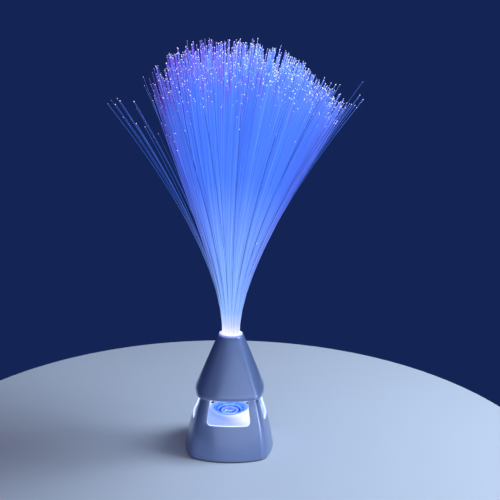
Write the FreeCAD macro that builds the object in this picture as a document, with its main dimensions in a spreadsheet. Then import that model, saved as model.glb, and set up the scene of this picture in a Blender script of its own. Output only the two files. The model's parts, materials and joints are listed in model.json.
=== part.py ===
"""Fibre optic table lamp: a four-windowed base, a hood on top of it and a spray of light-carrying strands.

Millimetres. The origin is the centre of the foot on the table, +Z is up and the front faces -Y.
The base holds three cells, a switch and a board with three LEDs. Their light rises through a clear lens and a
white funnel into the lower end of a round bundle, whose strands fan out above the hood.
"""
import FreeCAD, Part
import Sketcher
import math
import os

X_AXIS = FreeCAD.Vector(1, 0, 0)
Y_AXIS = FreeCAD.Vector(0, 1, 0)
Z_AXIS = FreeCAD.Vector(0, 0, 1)

# Driving dimensions: alias, number, meaning.
SIZES = [
    ("foot_half", 40.5, "half width of the base at its lower edge"),
    ("crown_half", 24.9, "half width of the base at its upper edge, under the hood"),
    ("base_height", 58.0, "height of the base's upper edge above the table"),
    ("base_bulge", 1.4, "how far the base's side bows out of a straight taper"),
    ("foot_lift", 0.8, "height of the base's lower edge above the table"),
    ("wall", 2.0, "wall of both shells"),
    ("bow_ratio", 1.78, "radius of the base's bowed sides over its half width"),
    ("foot_corner", 13.0, "corner radius of the base at its lower edge"),
    ("crown_corner", 8.5, "corner radius of the base at its upper edge"),
    ("foot_round", 1.0, "height of the narrow band along the base's lower edge"),
    ("crown_flange", 2.0, "thickness of the base's upper flange"),
    ("light_way", 16.0, "radius of the hole through the base's upper flange"),
    ("sill_step", 0.5, "height of the window sills above the tray's edge"),
    ("window_drop", 3.6, "how far the windows' upper edges lie below the base's upper edge"),
    ("sill_half", 19.1, "half width of a window at its sill"),
    ("lintel_half", 16.0, "half width of a window at its upper edge"),
    ("window_round", 3.2, "radius of a window's corners"),
    ("rim_overlap", 5.3, "how far the hood's rim hangs below the base's upper edge"),
    ("rim_half", 31.2, "half width of the hood at its rim"),
    ("skirt_height", 3.4, "height of the hood's upright skirt"),
    ("skirt_bend", 8.0, "radius of the bend above the skirt"),
    ("hood_height", 51.3, "height of the hood from its rim to its flat top"),
    ("hood_top_half", 11.3, "half width of the hood's flat top"),
    ("hood_bow_ratio", 2.1, "radius of the hood's bowed sides over its half width"),
    ("hood_top_bow", 18.0, "radius of the bowed sides at the hood's top"),
    ("rim_corner", 11.5, "corner radius of the hood at its rim"),
    ("hood_top_corner", 8.0, "corner radius of the hood at its top"),
    ("hood_roof", 2.0, "thickness of the hood's flat top"),
    ("hood_boss_at", 17.0, "distance of a hood boss from each centre plane"),
    ("hood_boss_length", 14.5, "length of the hood's bosses"),
    ("boss_radius", 2.7, "outer radius of the screw bosses"),
    ("plate_thickness", 3.0, "thickness of the base plate"),
    ("fit_gap", 0.3, "gap between pieces that go together by hand"),
    ("box_wall", 1.5, "wall of the battery box"),
    ("cell_radius", 7.1, "radius of an AA cell"),
    ("cell_length", 49.5, "length of an AA cell without its nub"),
    ("nub_radius", 2.75, "radius of a cell's nub"),
    ("nub_length", 1.0, "length of a cell's nub"),
    ("cell_gap", 0.5, "gap between neighbouring cells, and between a cell and the box"),
    ("spring_length", 4.6, "length of a compressed contact spring"),
    ("spring_wire", 0.5, "thickness of the contact springs' wire"),
    ("spring_turns", 2.5, "turns of a contact spring"),
    ("spring_wide", 3.5, "radius of a contact spring at its plate"),
    ("spring_narrow", 2.4, "radius of a contact spring at its cell"),
    ("contact_thickness", 0.4, "thickness of a contact plate"),
    ("contact_half", 5.0, "half width of a contact plate"),
    ("door_thickness", 1.4, "thickness of the battery door"),
    ("door_reach", 6.9, "how far the door reaches past the box at its screw"),
    ("tab_width", 6.0, "width of a door tab"),
    ("tab_length", 2.4, "length of a door tab"),
    ("tab_thickness", 1.0, "thickness of a door tab"),
    ("tab_root", 1.6, "length of a door tab's root on the door"),
    ("ledge_thickness", 1.5, "thickness of the ledge that a door tab hooks over"),
    ("door_head_height", 0.7, "height of the door screw's head"),
    ("slot_width", 0.8, "width of the slot in the door screw's head"),
    ("door_screw_radius", 1.2, "radius of the door screw's shank"),
    ("door_screw_reach", 4.0, "length of the door screw's shank above its head"),
    ("door_screw_room", 0.5, "room round the door screw in its boss, so that it swings out with the door"),
    ("head_radius", 2.3, "radius of a screw head"),
    ("head_height", 1.2, "height of a screw head"),
    ("shank_radius", 1.1, "radius of a self-tapping screw's shank"),
    ("thread_gap", 0.05, "gap round a screw's shank in its boss"),
    ("foot_pad_share", 0.225, "radius of a rubber foot over the free width beside the battery door"),
    ("foot_pad_rim", 0.8, "plate left round a rubber foot, towards the door and the plate's edge"),
    ("foot_pad_taper", 0.4, "how much a rubber foot narrows towards the table"),
    ("foot_pad_seat", 1.0, "depth of a rubber foot's recess in the base plate"),
    ("base_screw_x", 12.0, "distance of a base screw from the centre, sideways"),
    ("base_screw_y", 28.4, "distance of a base screw from the centre, front to back"),
    ("base_screw_reach", 9.0, "length of a base screw's shank"),
    ("rib_width", 1.6, "width of the rib that ties a boss to the wall"),
    ("tray_under", 29.1, "height of the tray's underside"),
    ("tray_thickness", 1.2, "thickness of the tray at its edge"),
    ("tray_rise", 1.2, "rise of the tray's four slopes from edge to lens"),
    ("slope_outer", 28.5, "half width of the square where the slopes start"),
    ("slope_inner", 14.5, "half width of the square where the slopes end"),
    ("tray_post_x", 16.0, "distance of a tray post from the centre, sideways"),
    ("tray_post_y", 17.0, "distance of a tray post from the centre, front to back"),
    ("tray_screw_reach", 6.0, "length of a tray screw's shank"),
    ("lens_foot", 10.3, "radius of the lens at its foot"),
    ("lens_rim", 17.0, "radius of the lens at its rim"),
    ("lens_height", 4.6, "height of the lens"),
    ("lens_ledge", 1.4, "width of the ledge that carries the lens"),
    ("lens_hip", 14.0, "radius of the lens where its outside bends"),
    ("lens_hip_height", 1.7, "height of that bend above the lens's foot"),
    ("lens_step", 1.05, "width of a ring step of the lens"),
    ("lens_ring_high", 3.4, "height of the outer ring step above the lens's foot"),
    ("lens_ring_low", 2.3, "height of the inner ring step above the lens's foot"),
    ("lens_floor", 1.2, "thickness of the lens at its floor"),
    ("bead_radius", 5.9, "radius of the bead in the middle of the lens"),
    ("bead_flat", 2.6, "radius of the flat on top of the bead"),
    ("bead_side", 2.1, "height of the bead's side above the lens's foot"),
    ("bead_height", 3.1, "height of the bead above the lens's foot"),
    ("board_radius", 13.2, "radius of the LED board"),
    ("board_thickness", 1.2, "thickness of the LED board"),
    ("peg_length", 3.2, "length of the pegs that hold the board under the tray"),
    ("peg_at", 11.2, "distance of a peg from the centre"),
    ("peg_radius", 1.9, "radius of a peg"),
    ("board_screw_reach", 3.2, "length of a board screw's shank"),
    ("led_radius", 2.5, "radius of an LED's dome"),
    ("led_collar", 0.4, "how far an LED's collar stands out"),
    ("led_at", 4.7, "distance of an LED from the centre"),
    ("led_lens_gap", 0.4, "gap between an LED's tip and the lens"),
    ("chip_width", 5.0, "width of the controller chip"),
    ("chip_height", 1.6, "height of the controller chip"),
    ("resistor_length", 2.4, "length of a resistor"),
    ("funnel_wall", 1.2, "wall of the light funnel"),
    ("funnel_lip", 19.2, "outer radius of the funnel's lip"),
    ("funnel_rise", 21.0, "height of the shoulder that carries the ferrule above the base"),
    ("neck_length", 7.0, "length of the funnel's neck round the ferrule"),
    ("strand_rings", 7, "number of rings of strands round the middle strand"),
    ("strand_thickness", 0.88, "thickness of a strand across its flats"),
    ("strand_gap", 0.15, "gap between rings of strands in the ferrule"),
    ("ferrule_wall", 1.2, "wall of the ferrule"),
    ("ferrule_flange", 1.5, "thickness of the ferrule's flange"),
    ("land", 1.5, "how far the ferrule's flange reaches past its sleeve"),
    ("spray_lean", 0.45, "final lean of the outermost even strands, as run over rise"),
    ("stray_lean", 0.32, "lean of the widest strays without their droop, as run over rise"),
    ("stray_every", 2, "one strand in this many of the outer ring is a stray"),
    ("stray_kinds", 5, "number of leans that the strays take in turn, from the right round to the left"),
    ("stray_least", 0.88, "share of the widest stray's law that a stray on the right takes"),
    ("spray_droop", 0.00037, "droop of the whole spray to the right, over the square of its rise"),
    ("stray_droop", 0.00125, "outward droop of the widest strays, over the square of their rise"),
    ("spray_bend", 45.0, "height over which the strands take up their lean"),
    ("spray_height", 356.0, "height of the middle strand's tip"),
    ("dome_fall", 0.0048, "fall of the tips below the middle one, over the square of their distance"),
    ("switch_height", 13.0, "height of the switch"),
    ("switch_width", 9.0, "width of the switch's can"),
    ("switch_tall", 4.4, "height of the switch's can"),
    ("switch_deep", 4.2, "depth of the switch's can"),
    ("switch_travel", 4.0, "travel of the switch's knob"),
    ("knob_width", 3.4, "width of the knob"),
    ("knob_tall", 3.2, "height of the knob"),
    ("knob_proud", 1.2, "how far the knob stands out of the base"),
    ("groove_width", 0.4, "width of the grooves in the knob's face"),
    ("groove_pitch", 0.95, "distance between the middles of two grooves"),
    ("lead_radius", 0.55, "radius of a lead"),
    ("lead_spread", 5.0, "distance from the centre plane at which a battery lead meets the board"),
    ("lead_meets", 7.5, "distance to the side at which a battery lead meets the board"),
]

doc = FreeCAD.newDocument("FibreOpticLamp")
sheet = doc.addObject("Spreadsheet::Sheet", "Sizes")
for row, (alias, number, meaning) in enumerate(SIZES, start=1):
    sheet.set(f"A{row}", meaning)
    sheet.set(f"B{row}", str(number))
    sheet.setAlias(f"B{row}", alias)
doc.recompute()

# Sizes that follow from the driving ones. A formula's words are aliases of the sheet or names that were
# worked out before.
worked = doc.addObject("App::VarSet", "Worked")
meter = doc.addObject("App::VarSet", "Meter")
meter.addProperty("App::PropertyFloat", "reading")
ALIASES = {alias for alias, number, meaning in SIZES}
FOLLOWING = set()


def bind(formula):
    """Turn the words of a formula into references to the sheet and to the worked sizes."""
    words = []
    for word in str(formula).replace("(", "( ").replace(")", " )").split():
        if word in ALIASES:
            word = "Sizes." + word
        elif word in FOLLOWING:
            word = "Worked." + word
        words.append(word)
    return " ".join(words)


def number(formula):
    """Give the present value of a formula."""
    meter.setExpression("reading", bind(formula))
    meter.recompute()
    return meter.reading


def work_out(name, formula):
    """Add a size that follows from others."""
    worked.addProperty("App::PropertyFloat", name)
    worked.setExpression(name, bind(formula))
    worked.recompute()
    FOLLOWING.add(name)


def base_half(height):
    """Formula of the base's half width at a height: a straight taper with a parabolic bulge."""
    along = f"( ( {height} ) / base_height )"
    return f"foot_half - ( foot_half - crown_half ) * {along} + 4 * base_bulge * {along} * ( 1 - {along} )"


def base_corner(height):
    """Formula of the base's corner radius at a height."""
    return f"foot_corner - ( foot_corner - crown_corner ) * ( {height} ) / base_height"


work_out("sleeve_gap", "fit_gap / 2")
work_out("plate_top", "foot_lift + plate_thickness")
work_out("cell_pitch", "2 * cell_radius + cell_gap")
work_out("box_half_x", "cell_length / 2 + nub_length / 2 + spring_length / 2 + contact_thickness")
work_out("box_half_y", "1.5 * cell_pitch + cell_gap / 2")
work_out("door_top", "foot_lift + door_thickness")
work_out("recess_top", "door_top + fit_gap")
work_out("cell_middle", "recess_top + fit_gap + cell_radius")
work_out("box_top", "cell_middle + cell_radius + cell_gap")
work_out("roof_top", "box_top + box_wall")
work_out("tray_edge_top", "tray_under + tray_thickness")
work_out("sill", "tray_edge_top + sill_step")
work_out("lintel", "base_height - window_drop")
work_out("rim_height", "base_height - rim_overlap")
work_out("hood_top", "rim_height + hood_height")
work_out("hood_boss_top", "base_height + hood_boss_length")
work_out("funnel_shoulder", "base_height + funnel_rise")
work_out("lens_bottom", "tray_edge_top + tray_rise / 2")
work_out("board_top", "tray_under - peg_length")
work_out("board_under", "board_top - board_thickness")
work_out("strand_pitch", "strand_thickness + strand_gap")
work_out("bundle_radius", "strand_rings * strand_pitch + strand_thickness / sqrt(3)")
work_out("ferrule_bore", "bundle_radius + strand_gap")
work_out("ferrule_radius", "ferrule_bore + ferrule_wall")
work_out("flange_top", "hood_top + ferrule_flange")
work_out("door_screw_x", "box_half_x + box_wall + door_screw_room + door_screw_radius")
work_out("door_boss_top", "recess_top + door_screw_reach + box_wall")
work_out("door_half_x", "box_half_x + box_wall / 2")
work_out("door_half_y", "box_half_y + box_wall / 2")
work_out("tongue_half", "head_radius + 2 * box_wall / 3 + 1")
work_out("ledge_top", "foot_lift + ledge_thickness")
work_out("tab_top", "ledge_top + fit_gap + tab_thickness")
work_out("tab_room_height", "tab_length + fit_gap")
work_out("base_seat", "foot_lift + head_height + sleeve_gap")
work_out("flat_end", "box_half_x - contact_thickness - nub_length - cell_length")
work_out("lead_x", "box_half_x - contact_thickness - lead_radius - thread_gap")
work_out("spring_corner", "spring_wire / sqrt(2)")
work_out("flange_under", "base_height - crown_flange")
work_out("tray_top", "tray_edge_top + tray_rise")
work_out("skirt_top", "rim_height + skirt_height")
work_out("hood_under", "hood_top - hood_roof")
work_out("led_tip", "lens_bottom - led_lens_gap")
work_out("switch_outer", base_half("switch_height"))
work_out("switch_wall", "switch_outer - wall")
work_out("switch_face", base_half("( switch_height + switch_tall / 2 )") + " - wall - fit_gap")
work_out("plate_half", base_half("plate_top") + " - wall - sleeve_gap")
work_out("plate_bow", "bow_ratio * plate_half")
work_out("plate_corner", base_corner("plate_top") + " - wall - sleeve_gap")
work_out("plate_back", "plate_bow - plate_half")
work_out("corner_at", "( sqrt(2 * ( plate_bow - plate_corner ) ^ 2 - plate_back ^ 2) - plate_back ) / 2")
work_out("foot_pad_radius", "foot_pad_share * ( plate_half - door_half_y - fit_gap )")
work_out("foot_pad_y", "door_half_y + fit_gap + foot_pad_rim + foot_pad_radius")
work_out("foot_pad_way", "plate_corner - foot_pad_rim - foot_pad_radius")
work_out("foot_pad_x", "corner_at + sqrt(foot_pad_way ^ 2 - ( foot_pad_y - corner_at ) ^ 2)")
work_out("rib_half", base_half("tray_under"))
work_out("rib_end", "rib_half - wall / 2 - base_screw_x ^ 2 / ( 2 * bow_ratio * rib_half )")
doc.recompute()


def plane_of(body, role):
    """Find one of a body's own origin planes."""
    return next(feature for feature in body.Origin.OriginFeatures if feature.Role == role)


def new_body(name):
    """Start a sub-part as a body of its own."""
    body = doc.addObject("PartDesign::Body", name)
    body.Label = name
    return body


def new_sketch(body, name, role="XY_Plane", offset="0"):
    """Put a sketch on one of the body's planes, moved along the plane's normal by a formula."""
    sketch = body.newObject("Sketcher::SketchObject", name)
    sketch.AttachmentSupport = [(plane_of(body, role), "")]
    sketch.MapMode = "FlatFace"
    sketch.setExpression("AttachmentOffset.Base.z", bind(offset))
    return sketch


def fix(sketch, kind, *place, to):
    """Dimension an element of a sketch and bind the dimension to a formula."""
    index = sketch.addConstraint(Sketcher.Constraint(kind, *place, number(to)))
    sketch.setExpression(f"Constraints[{index}]", bind(to))


def fix_point(sketch, element, point, x, y):
    """Hold a point of a sketch at a place given by two formulas."""
    if x == "0":
        sketch.addConstraint(Sketcher.Constraint("PointOnObject", element, point, -2))
    else:
        fix(sketch, "DistanceX", -1, 1, element, point, to=x)
    if y == "0":
        sketch.addConstraint(Sketcher.Constraint("PointOnObject", element, point, -1))
    else:
        fix(sketch, "DistanceY", -1, 1, element, point, to=y)


def polygon(sketch, corners, construction=False):
    """Draw a closed outline whose corners are pairs of formulas, and give the number of its first line."""
    places = [FreeCAD.Vector(number(x), number(y), 0) for x, y in corners]
    first = sketch.GeometryCount
    count = len(places)
    for index, place in enumerate(places):
        sketch.addGeometry(Part.LineSegment(place, places[(index + 1) % count]), construction)
    for index, (x, y) in enumerate(corners):
        after = first + (index + 1) % count
        sketch.addConstraint(Sketcher.Constraint("Coincident", first + index, 2, after, 1))
        fix_point(sketch, first + index, 1, x, y)
    return first


def rectangle(sketch, low_x, low_y, high_x, high_y):
    """Draw a rectangle between two corners given by formulas."""
    polygon(sketch, [(low_x, low_y), (high_x, low_y), (high_x, high_y), (low_x, high_y)])


def rounded_polygon(sketch, corners, radius):
    """Draw a closed outline with a tangent arc of one radius in each corner.

    The sharp outline is construction geometry. Each side lies on one of its lines, and an arc touches two
    sides.
    """
    guide = polygon(sketch, corners, construction=True)
    places = [FreeCAD.Vector(number(x), number(y), 0) for x, y in corners]
    count = len(places)
    reach = number(radius)
    entries = []
    exits = []
    middles = []
    for index, place in enumerate(places):
        back = (places[index - 1] - place).normalize()
        ahead = (places[(index + 1) % count] - place).normalize()
        half_angle = back.getAngle(ahead) / 2
        entries.append(place + back * (reach / math.tan(half_angle)))
        exits.append(place + ahead * (reach / math.tan(half_angle)))
        inward = (back + ahead).normalize()
        middles.append(place + inward * (reach / math.sin(half_angle) - reach))
    lines = [sketch.addGeometry(Part.LineSegment(exits[index], entries[(index + 1) % count]))
             for index in range(count)]
    arcs = []
    starts = []
    for index in range(count):
        arc = Part.Arc(entries[index], middles[index], exits[index])
        arcs.append(sketch.addGeometry(arc))
        starts.append(sketch.Geometry[arcs[-1]].StartPoint.distanceToPoint(entries[index]) < reach / 100)
    for index in range(count):
        into, out = (1, 2) if starts[index] else (2, 1)
        sketch.addConstraint(Sketcher.Constraint("Tangent", lines[index - 1], 2, arcs[index], into))
        sketch.addConstraint(Sketcher.Constraint("Tangent", lines[index], 1, arcs[index], out))
        sketch.addConstraint(Sketcher.Constraint("PointOnObject", lines[index], 1, guide + index))
        sketch.addConstraint(Sketcher.Constraint("PointOnObject", lines[index], 2, guide + index))
        if index:
            sketch.addConstraint(Sketcher.Constraint("Equal", arcs[0], arcs[index]))
    fix(sketch, "Radius", arcs[0], to=radius)


def circle(sketch, x, y, radius):
    """Draw a circle whose centre and radius are formulas."""
    centre = FreeCAD.Vector(number(x), number(y), 0)
    index = sketch.addGeometry(Part.Circle(centre, Z_AXIS, number(radius)))
    fix_point(sketch, index, 3, x, y)
    fix(sketch, "Radius", index, to=radius)


def squircle(sketch, half, bow, corner):
    """Draw a square whose sides bow outwards as arcs and whose corners are arcs tangent to them.

    A side's centre lies on an axis, one bow radius behind the middle of the side. A corner's centre lies on
    the diagonal, where its arc touches both sides from within.
    """
    side_radius = number(bow)
    corner_radius = number(corner)
    back = side_radius - number(half)
    place = (math.sqrt(2 * (side_radius - corner_radius) ** 2 - back ** 2) - back) / 2
    half_angle = math.atan2(place, place + back)
    for turn in range(4):
        ahead = turn * math.pi / 2
        centre = FreeCAD.Vector(-back * math.cos(ahead), -back * math.sin(ahead), 0)
        side = Part.Circle(centre, Z_AXIS, side_radius)
        sketch.addGeometry(Part.ArcOfCircle(side, ahead - half_angle, ahead + half_angle))
        diagonal = ahead + math.pi / 4
        centre = FreeCAD.Vector(math.cos(diagonal), math.sin(diagonal), 0) * (place * math.sqrt(2))
        round_corner = Part.Circle(centre, Z_AXIS, corner_radius)
        corner_end = ahead + math.pi / 2 - half_angle
        sketch.addGeometry(Part.ArcOfCircle(round_corner, ahead + half_angle, corner_end))
    for index in range(8):
        sketch.addConstraint(Sketcher.Constraint("Tangent", index, 2, (index + 1) % 8, 1))
    behind = f"( {half} ) - ( {bow} )"
    before = f"( {bow} ) - ( {half} )"
    for turn, (x, y) in enumerate([(behind, "0"), ("0", behind), (before, "0"), ("0", before)]):
        fix_point(sketch, 2 * turn, 3, x, y)
        if turn:
            sketch.addConstraint(Sketcher.Constraint("Equal", 0, 2 * turn))
            sketch.addConstraint(Sketcher.Constraint("Equal", 1, 2 * turn + 1))
    fix(sketch, "Radius", 0, to=bow)
    fix(sketch, "Radius", 1, to=corner)


def feature_of(body, kind, sketch):
    """Add a feature of a kind that works on a sketch."""
    feature = body.newObject("PartDesign::" + kind, sketch.Name + kind)
    feature.Profile = sketch
    return feature


def pad(body, sketch, length, both_ways=False, reversed_way=False):
    """Raise a sketch into solid by the length of a formula."""
    feature = feature_of(body, "Pad", sketch)
    feature.setExpression("Length", bind(length))
    feature.Midplane = both_ways
    feature.Reversed = reversed_way
    doc.recompute()
    return feature


def cut(body, sketch, length=None, along_normal=False):
    """Cut a sketch into the body: against the sketch's normal, along it, or both ways through everything."""
    before = body.Shape.Volume
    feature = feature_of(body, "Pocket", sketch)
    if length is None:
        feature.Type = "ThroughAll"
        feature.Midplane = True
    else:
        feature.setExpression("Length", bind(length))
        feature.Reversed = along_normal
    doc.recompute()
    if not body.Shape.Volume < before:
        raise RuntimeError(feature.Label + " cuts nothing")
    return feature


def turn_solid(body, sketch):
    """Turn a half profile round the sketch's upright axis."""
    feature = feature_of(body, "Revolution", sketch)
    feature.ReferenceAxis = (sketch, ["V_Axis"])
    feature.Angle = 360
    doc.recompute()
    return feature


def loft(body, kind, sections):
    """Stretch a skin through sections."""
    feature = feature_of(body, kind, sections[0])
    feature.Sections = sections[1:]
    feature.Ruled = len(sections) == 2
    doc.recompute()
    return feature


def round_edges(body, radius, wanted):
    """Round those edges of the body that a test picks."""
    last = body.Tip
    names = [f"Edge{index}" for index, edge in enumerate(last.Shape.Edges, start=1) if wanted(edge)]
    feature = body.newObject("PartDesign::Fillet", body.Name + "Round")
    feature.Base = (last, names)
    feature.setExpression("Radius", bind(radius))
    doc.recompute()
    return feature


def at_height(edge, height):
    """Tell whether an edge lies wholly at a height."""
    box = edge.BoundBox
    return abs(box.ZMin - height) < 0.01 and abs(box.ZMax - height) < 0.01


def four_ways(x, y):
    """Give a place and its mirror images in both centre planes."""
    return [(f"{side} * ( {x} )", f"{end} * ( {y} )") for side in (-1, 1) for end in (-1, 1)]


def set_place(piece, x="0", y="0", z="0"):
    """Bind the place of a piece to three formulas."""
    for axis, formula in zip("xyz", (x, y, z)):
        piece.setExpression(f"Placement.Base.{axis}", bind(formula))


def new_cylinder(name, radius, height, x="0", y="0", z="0"):
    """Make a cylinder along Z."""
    piece = doc.addObject("Part::Cylinder", name)
    piece.setExpression("Radius", bind(radius))
    piece.setExpression("Height", bind(height))
    set_place(piece, x, y, z)
    return piece


def new_box(name, length, width, height, x, y, z):
    """Make a box whose least corner is at x, y, z."""
    piece = doc.addObject("Part::Box", name)
    piece.setExpression("Length", bind(length))
    piece.setExpression("Width", bind(width))
    piece.setExpression("Height", bind(height))
    set_place(piece, x, y, z)
    return piece


def fuse(name, first, second):
    """Join two shapes into one piece."""
    piece = doc.addObject("Part::Fuse", name)
    piece.Base = first
    piece.Tool = second
    return piece


def group(name, pieces):
    """Keep like pieces together as one sub-part of separate solids."""
    together = doc.addObject("Part::Compound", name)
    together.Links = pieces
    return together


def new_screw(name, x, y, seat, reach, downwards=False,
              head=("head_radius", "head_height"), shank="shank_radius"):
    """Make a screw whose head bears on a face at the height of the seat. Its shank points up or down."""
    head_radius, head_height = head
    head_base = seat if downwards else f"{seat} - {head_height}"
    shank_base = f"{seat} - {reach}" if downwards else seat
    return fuse(name, new_cylinder(name + "Head", head_radius, head_height, x, y, head_base),
                new_cylinder(name + "Shank", shank, reach, x, y, shank_base))


def prism_along(points, thickness, sides):
    """Carry a regular polygon along a run of points as one closed solid with mitred joints.

    The polygon starts square to the first run, and an upright one turns a flat side to +X. At each point its
    corners slide along the run to the plane that halves the turn, so every side face is flat. The last ring
    is square to the last run.
    """
    runs = [(after - before).normalize() for before, after in zip(points, points[1:])]
    side_way = runs[0].cross(X_AXIS if abs(runs[0].x) < 0.9 else Y_AXIS).normalize()
    other_way = runs[0].cross(side_way)
    radius = thickness / 2 / math.cos(math.pi / sides)
    ring = []
    for index in range(sides):
        angle = 2 * math.pi * index / sides
        spoke = side_way * math.cos(angle) + other_way * math.sin(angle)
        ring.append(points[0] + spoke * radius)
    rings = [ring]
    for index, run in enumerate(runs):
        normal = run if index == len(runs) - 1 else (run + runs[index + 1]).normalize()
        end = points[index + 1]
        ring = [corner + run * ((end - corner).dot(normal) / run.dot(normal)) for corner in ring]
        rings.append(ring)
    faces = [Part.Face(Part.makePolygon(end_ring + end_ring[:1])) for end_ring in (rings[0], rings[-1])]
    for low, high in zip(rings, rings[1:]):
        for index in range(sides):
            after = (index + 1) % sides
            outline = [low[index], low[after], high[after], high[index], low[index]]
            faces.append(Part.Face(Part.makePolygon(outline)))
    solid = Part.Solid(Part.makeShell(faces))
    if solid.Volume < 0:
        solid.reverse()
    return solid


# ---- base shell ----

def base_section(body, name, height, inset="0"):
    """Sketch the base's outline at a height, drawn in by an inset."""
    sketch = new_sketch(body, name, offset=height)
    half = base_half(height)
    bow = f"bow_ratio * ( {half} ) - {inset}"
    squircle(sketch, f"{half} - {inset}", bow, f"{base_corner(height)} - {inset}")
    return sketch


def part_way(low, high, share):
    """Formula of the height that lies a share of the way between two heights."""
    return f"( {low} ) + ( {high} - ( {low} ) ) * {share}"


base_shell = new_body("base_shell")
SECTION_SHARES = ("0", "1 / 3", "2 / 3", "1")
band_top = "foot_lift + foot_round"
edge_band = [base_section(base_shell, "FootEdgeLow", "foot_lift", "foot_round / 2"),
             base_section(base_shell, "FootEdgeHigh", band_top)]
loft(base_shell, "AdditiveLoft", edge_band)
outside = [base_section(base_shell, f"BaseOutside{index}", part_way(band_top, "base_height", share))
           for index, share in enumerate(SECTION_SHARES)]
loft(base_shell, "AdditiveLoft", outside)
inside = [base_section(base_shell, f"BaseInside{index}",
                       part_way("foot_lift", "flange_under", share), "wall")
          for index, share in enumerate(SECTION_SHARES)]
loft(base_shell, "SubtractiveLoft", inside)

way = new_sketch(base_shell, "CrownWay", offset="base_height")
circle(way, "0", "0", "light_way")
cut(base_shell, way, "2 * crown_flange")
crown_holes = new_sketch(base_shell, "CrownScrewHoles", offset="base_height")
for x, y in four_ways("hood_boss_at", "hood_boss_at"):
    circle(crown_holes, x, y, "shank_radius + sleeve_gap")
cut(base_shell, crown_holes, "2 * crown_flange")

for plane in ("XZ_Plane", "YZ_Plane"):
    window = new_sketch(base_shell, "Window" + plane[:2], plane)
    rounded_polygon(window, [("-1 * sill_half", "sill"), ("sill_half", "sill"), ("lintel_half", "lintel"),
                             ("-1 * lintel_half", "lintel")], "window_round")
    cut(base_shell, window)

bosses = new_sketch(base_shell, "BaseBosses", offset="plate_top")
for x, y in four_ways("base_screw_x", "base_screw_y"):
    circle(bosses, x, y, "boss_radius")
pad(base_shell, bosses, "tray_under - plate_top")
for end in (-1, 1):
    for side in (-1, 1):
        rib = new_sketch(base_shell, f"BaseRib{side + 1}{end + 1}", offset="plate_top")
        low = f"{side} * base_screw_x - rib_width / 2"
        high = f"{side} * base_screw_x + rib_width / 2"
        near = f"{end} * ( base_screw_y + boss_radius / 2 )"
        far = f"{end} * rib_end"
        rectangle(rib, low, near, high, far)
        pad(base_shell, rib, "tray_under - plate_top")
pilots = new_sketch(base_shell, "BasePilots", offset="plate_top")
for x, y in four_ways("base_screw_x", "base_screw_y"):
    circle(pilots, x, y, "shank_radius + thread_gap")
cut(base_shell, pilots, "base_screw_reach", along_normal=True)

slot = new_sketch(base_shell, "SwitchSlot", "XZ_Plane", offset="-1 * ( switch_wall - 2 * wall )")
slot_half = "( switch_travel / 2 + knob_width / 2 + fit_gap )"
slot_low = "switch_height - knob_tall / 2 - fit_gap"
slot_high = "switch_height + knob_tall / 2 + fit_gap"
rectangle(slot, f"-1 * {slot_half}", slot_low, slot_half, slot_high)
cut(base_shell, slot, "4 * wall")

# ---- base plate with battery box ----

base_plate = new_body("base_plate")
plate = new_sketch(base_plate, "PlateOutline", offset="foot_lift")
squircle(plate, "plate_half", "plate_bow", "plate_corner")
pad(base_plate, plate, "plate_thickness")
box = new_sketch(base_plate, "BoxOutside", offset="foot_lift")
rectangle(box, "-1 * ( box_half_x + box_wall )", "-1 * ( box_half_y + box_wall )",
          "box_half_x + box_wall", "box_half_y + box_wall")
pad(base_plate, box, "roof_top - foot_lift")
posts = new_sketch(base_plate, "TrayPosts", offset="roof_top")
for x, y in four_ways("tray_post_x", "tray_post_y"):
    circle(posts, x, y, "boss_radius")
pad(base_plate, posts, "tray_under - roof_top")
door_boss = new_sketch(base_plate, "DoorBoss", offset="foot_lift")
circle(door_boss, "door_screw_x", "0", "boss_radius")
pad(base_plate, door_boss, "door_boss_top - foot_lift")

inside_box = new_sketch(base_plate, "BoxInside", offset="foot_lift")
rectangle(inside_box, "-1 * box_half_x", "-1 * box_half_y", "box_half_x", "box_half_y")
cut(base_plate, inside_box, "box_top - foot_lift", along_normal=True)


def door_outline(sketch, grow):
    """Draw the battery door: a rectangle over the box with a tongue for its screw."""
    side = f"door_half_x + {grow}"
    end = f"door_half_y + {grow}"
    tip = f"box_half_x + door_reach + {grow}"
    half = f"tongue_half + {grow}"
    polygon(sketch, [(f"-1 * ( {side} )", f"-1 * ( {end} )"), (side, f"-1 * ( {end} )"),
                     (side, f"-1 * ( {half} )"), (tip, f"-1 * ( {half} )"), (tip, half), (side, half),
                     (side, end), (f"-1 * ( {side} )", end)])


recess = new_sketch(base_plate, "DoorRecess", offset="foot_lift")
door_outline(recess, "fit_gap")
cut(base_plate, recess, "recess_top - foot_lift", along_normal=True)
screw_room = new_sketch(base_plate, "DoorScrewRoom", offset="recess_top")
circle(screw_room, "door_screw_x", "0", "door_screw_radius + door_screw_room")
cut(base_plate, screw_room, "door_screw_reach", along_normal=True)
for side in (-1, 1):
    tab_room = new_sketch(base_plate, f"TabRoom{side + 1}", offset="ledge_top")
    rectangle(tab_room, "-1 * ( door_half_x + tab_length + 2 * fit_gap )",
              f"{side} * cell_pitch / 2 - tab_width / 2 - fit_gap",
              "-1 * box_half_x", f"{side} * cell_pitch / 2 + tab_width / 2 + fit_gap")
    cut(base_plate, tab_room, "tab_room_height", along_normal=True)

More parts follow.
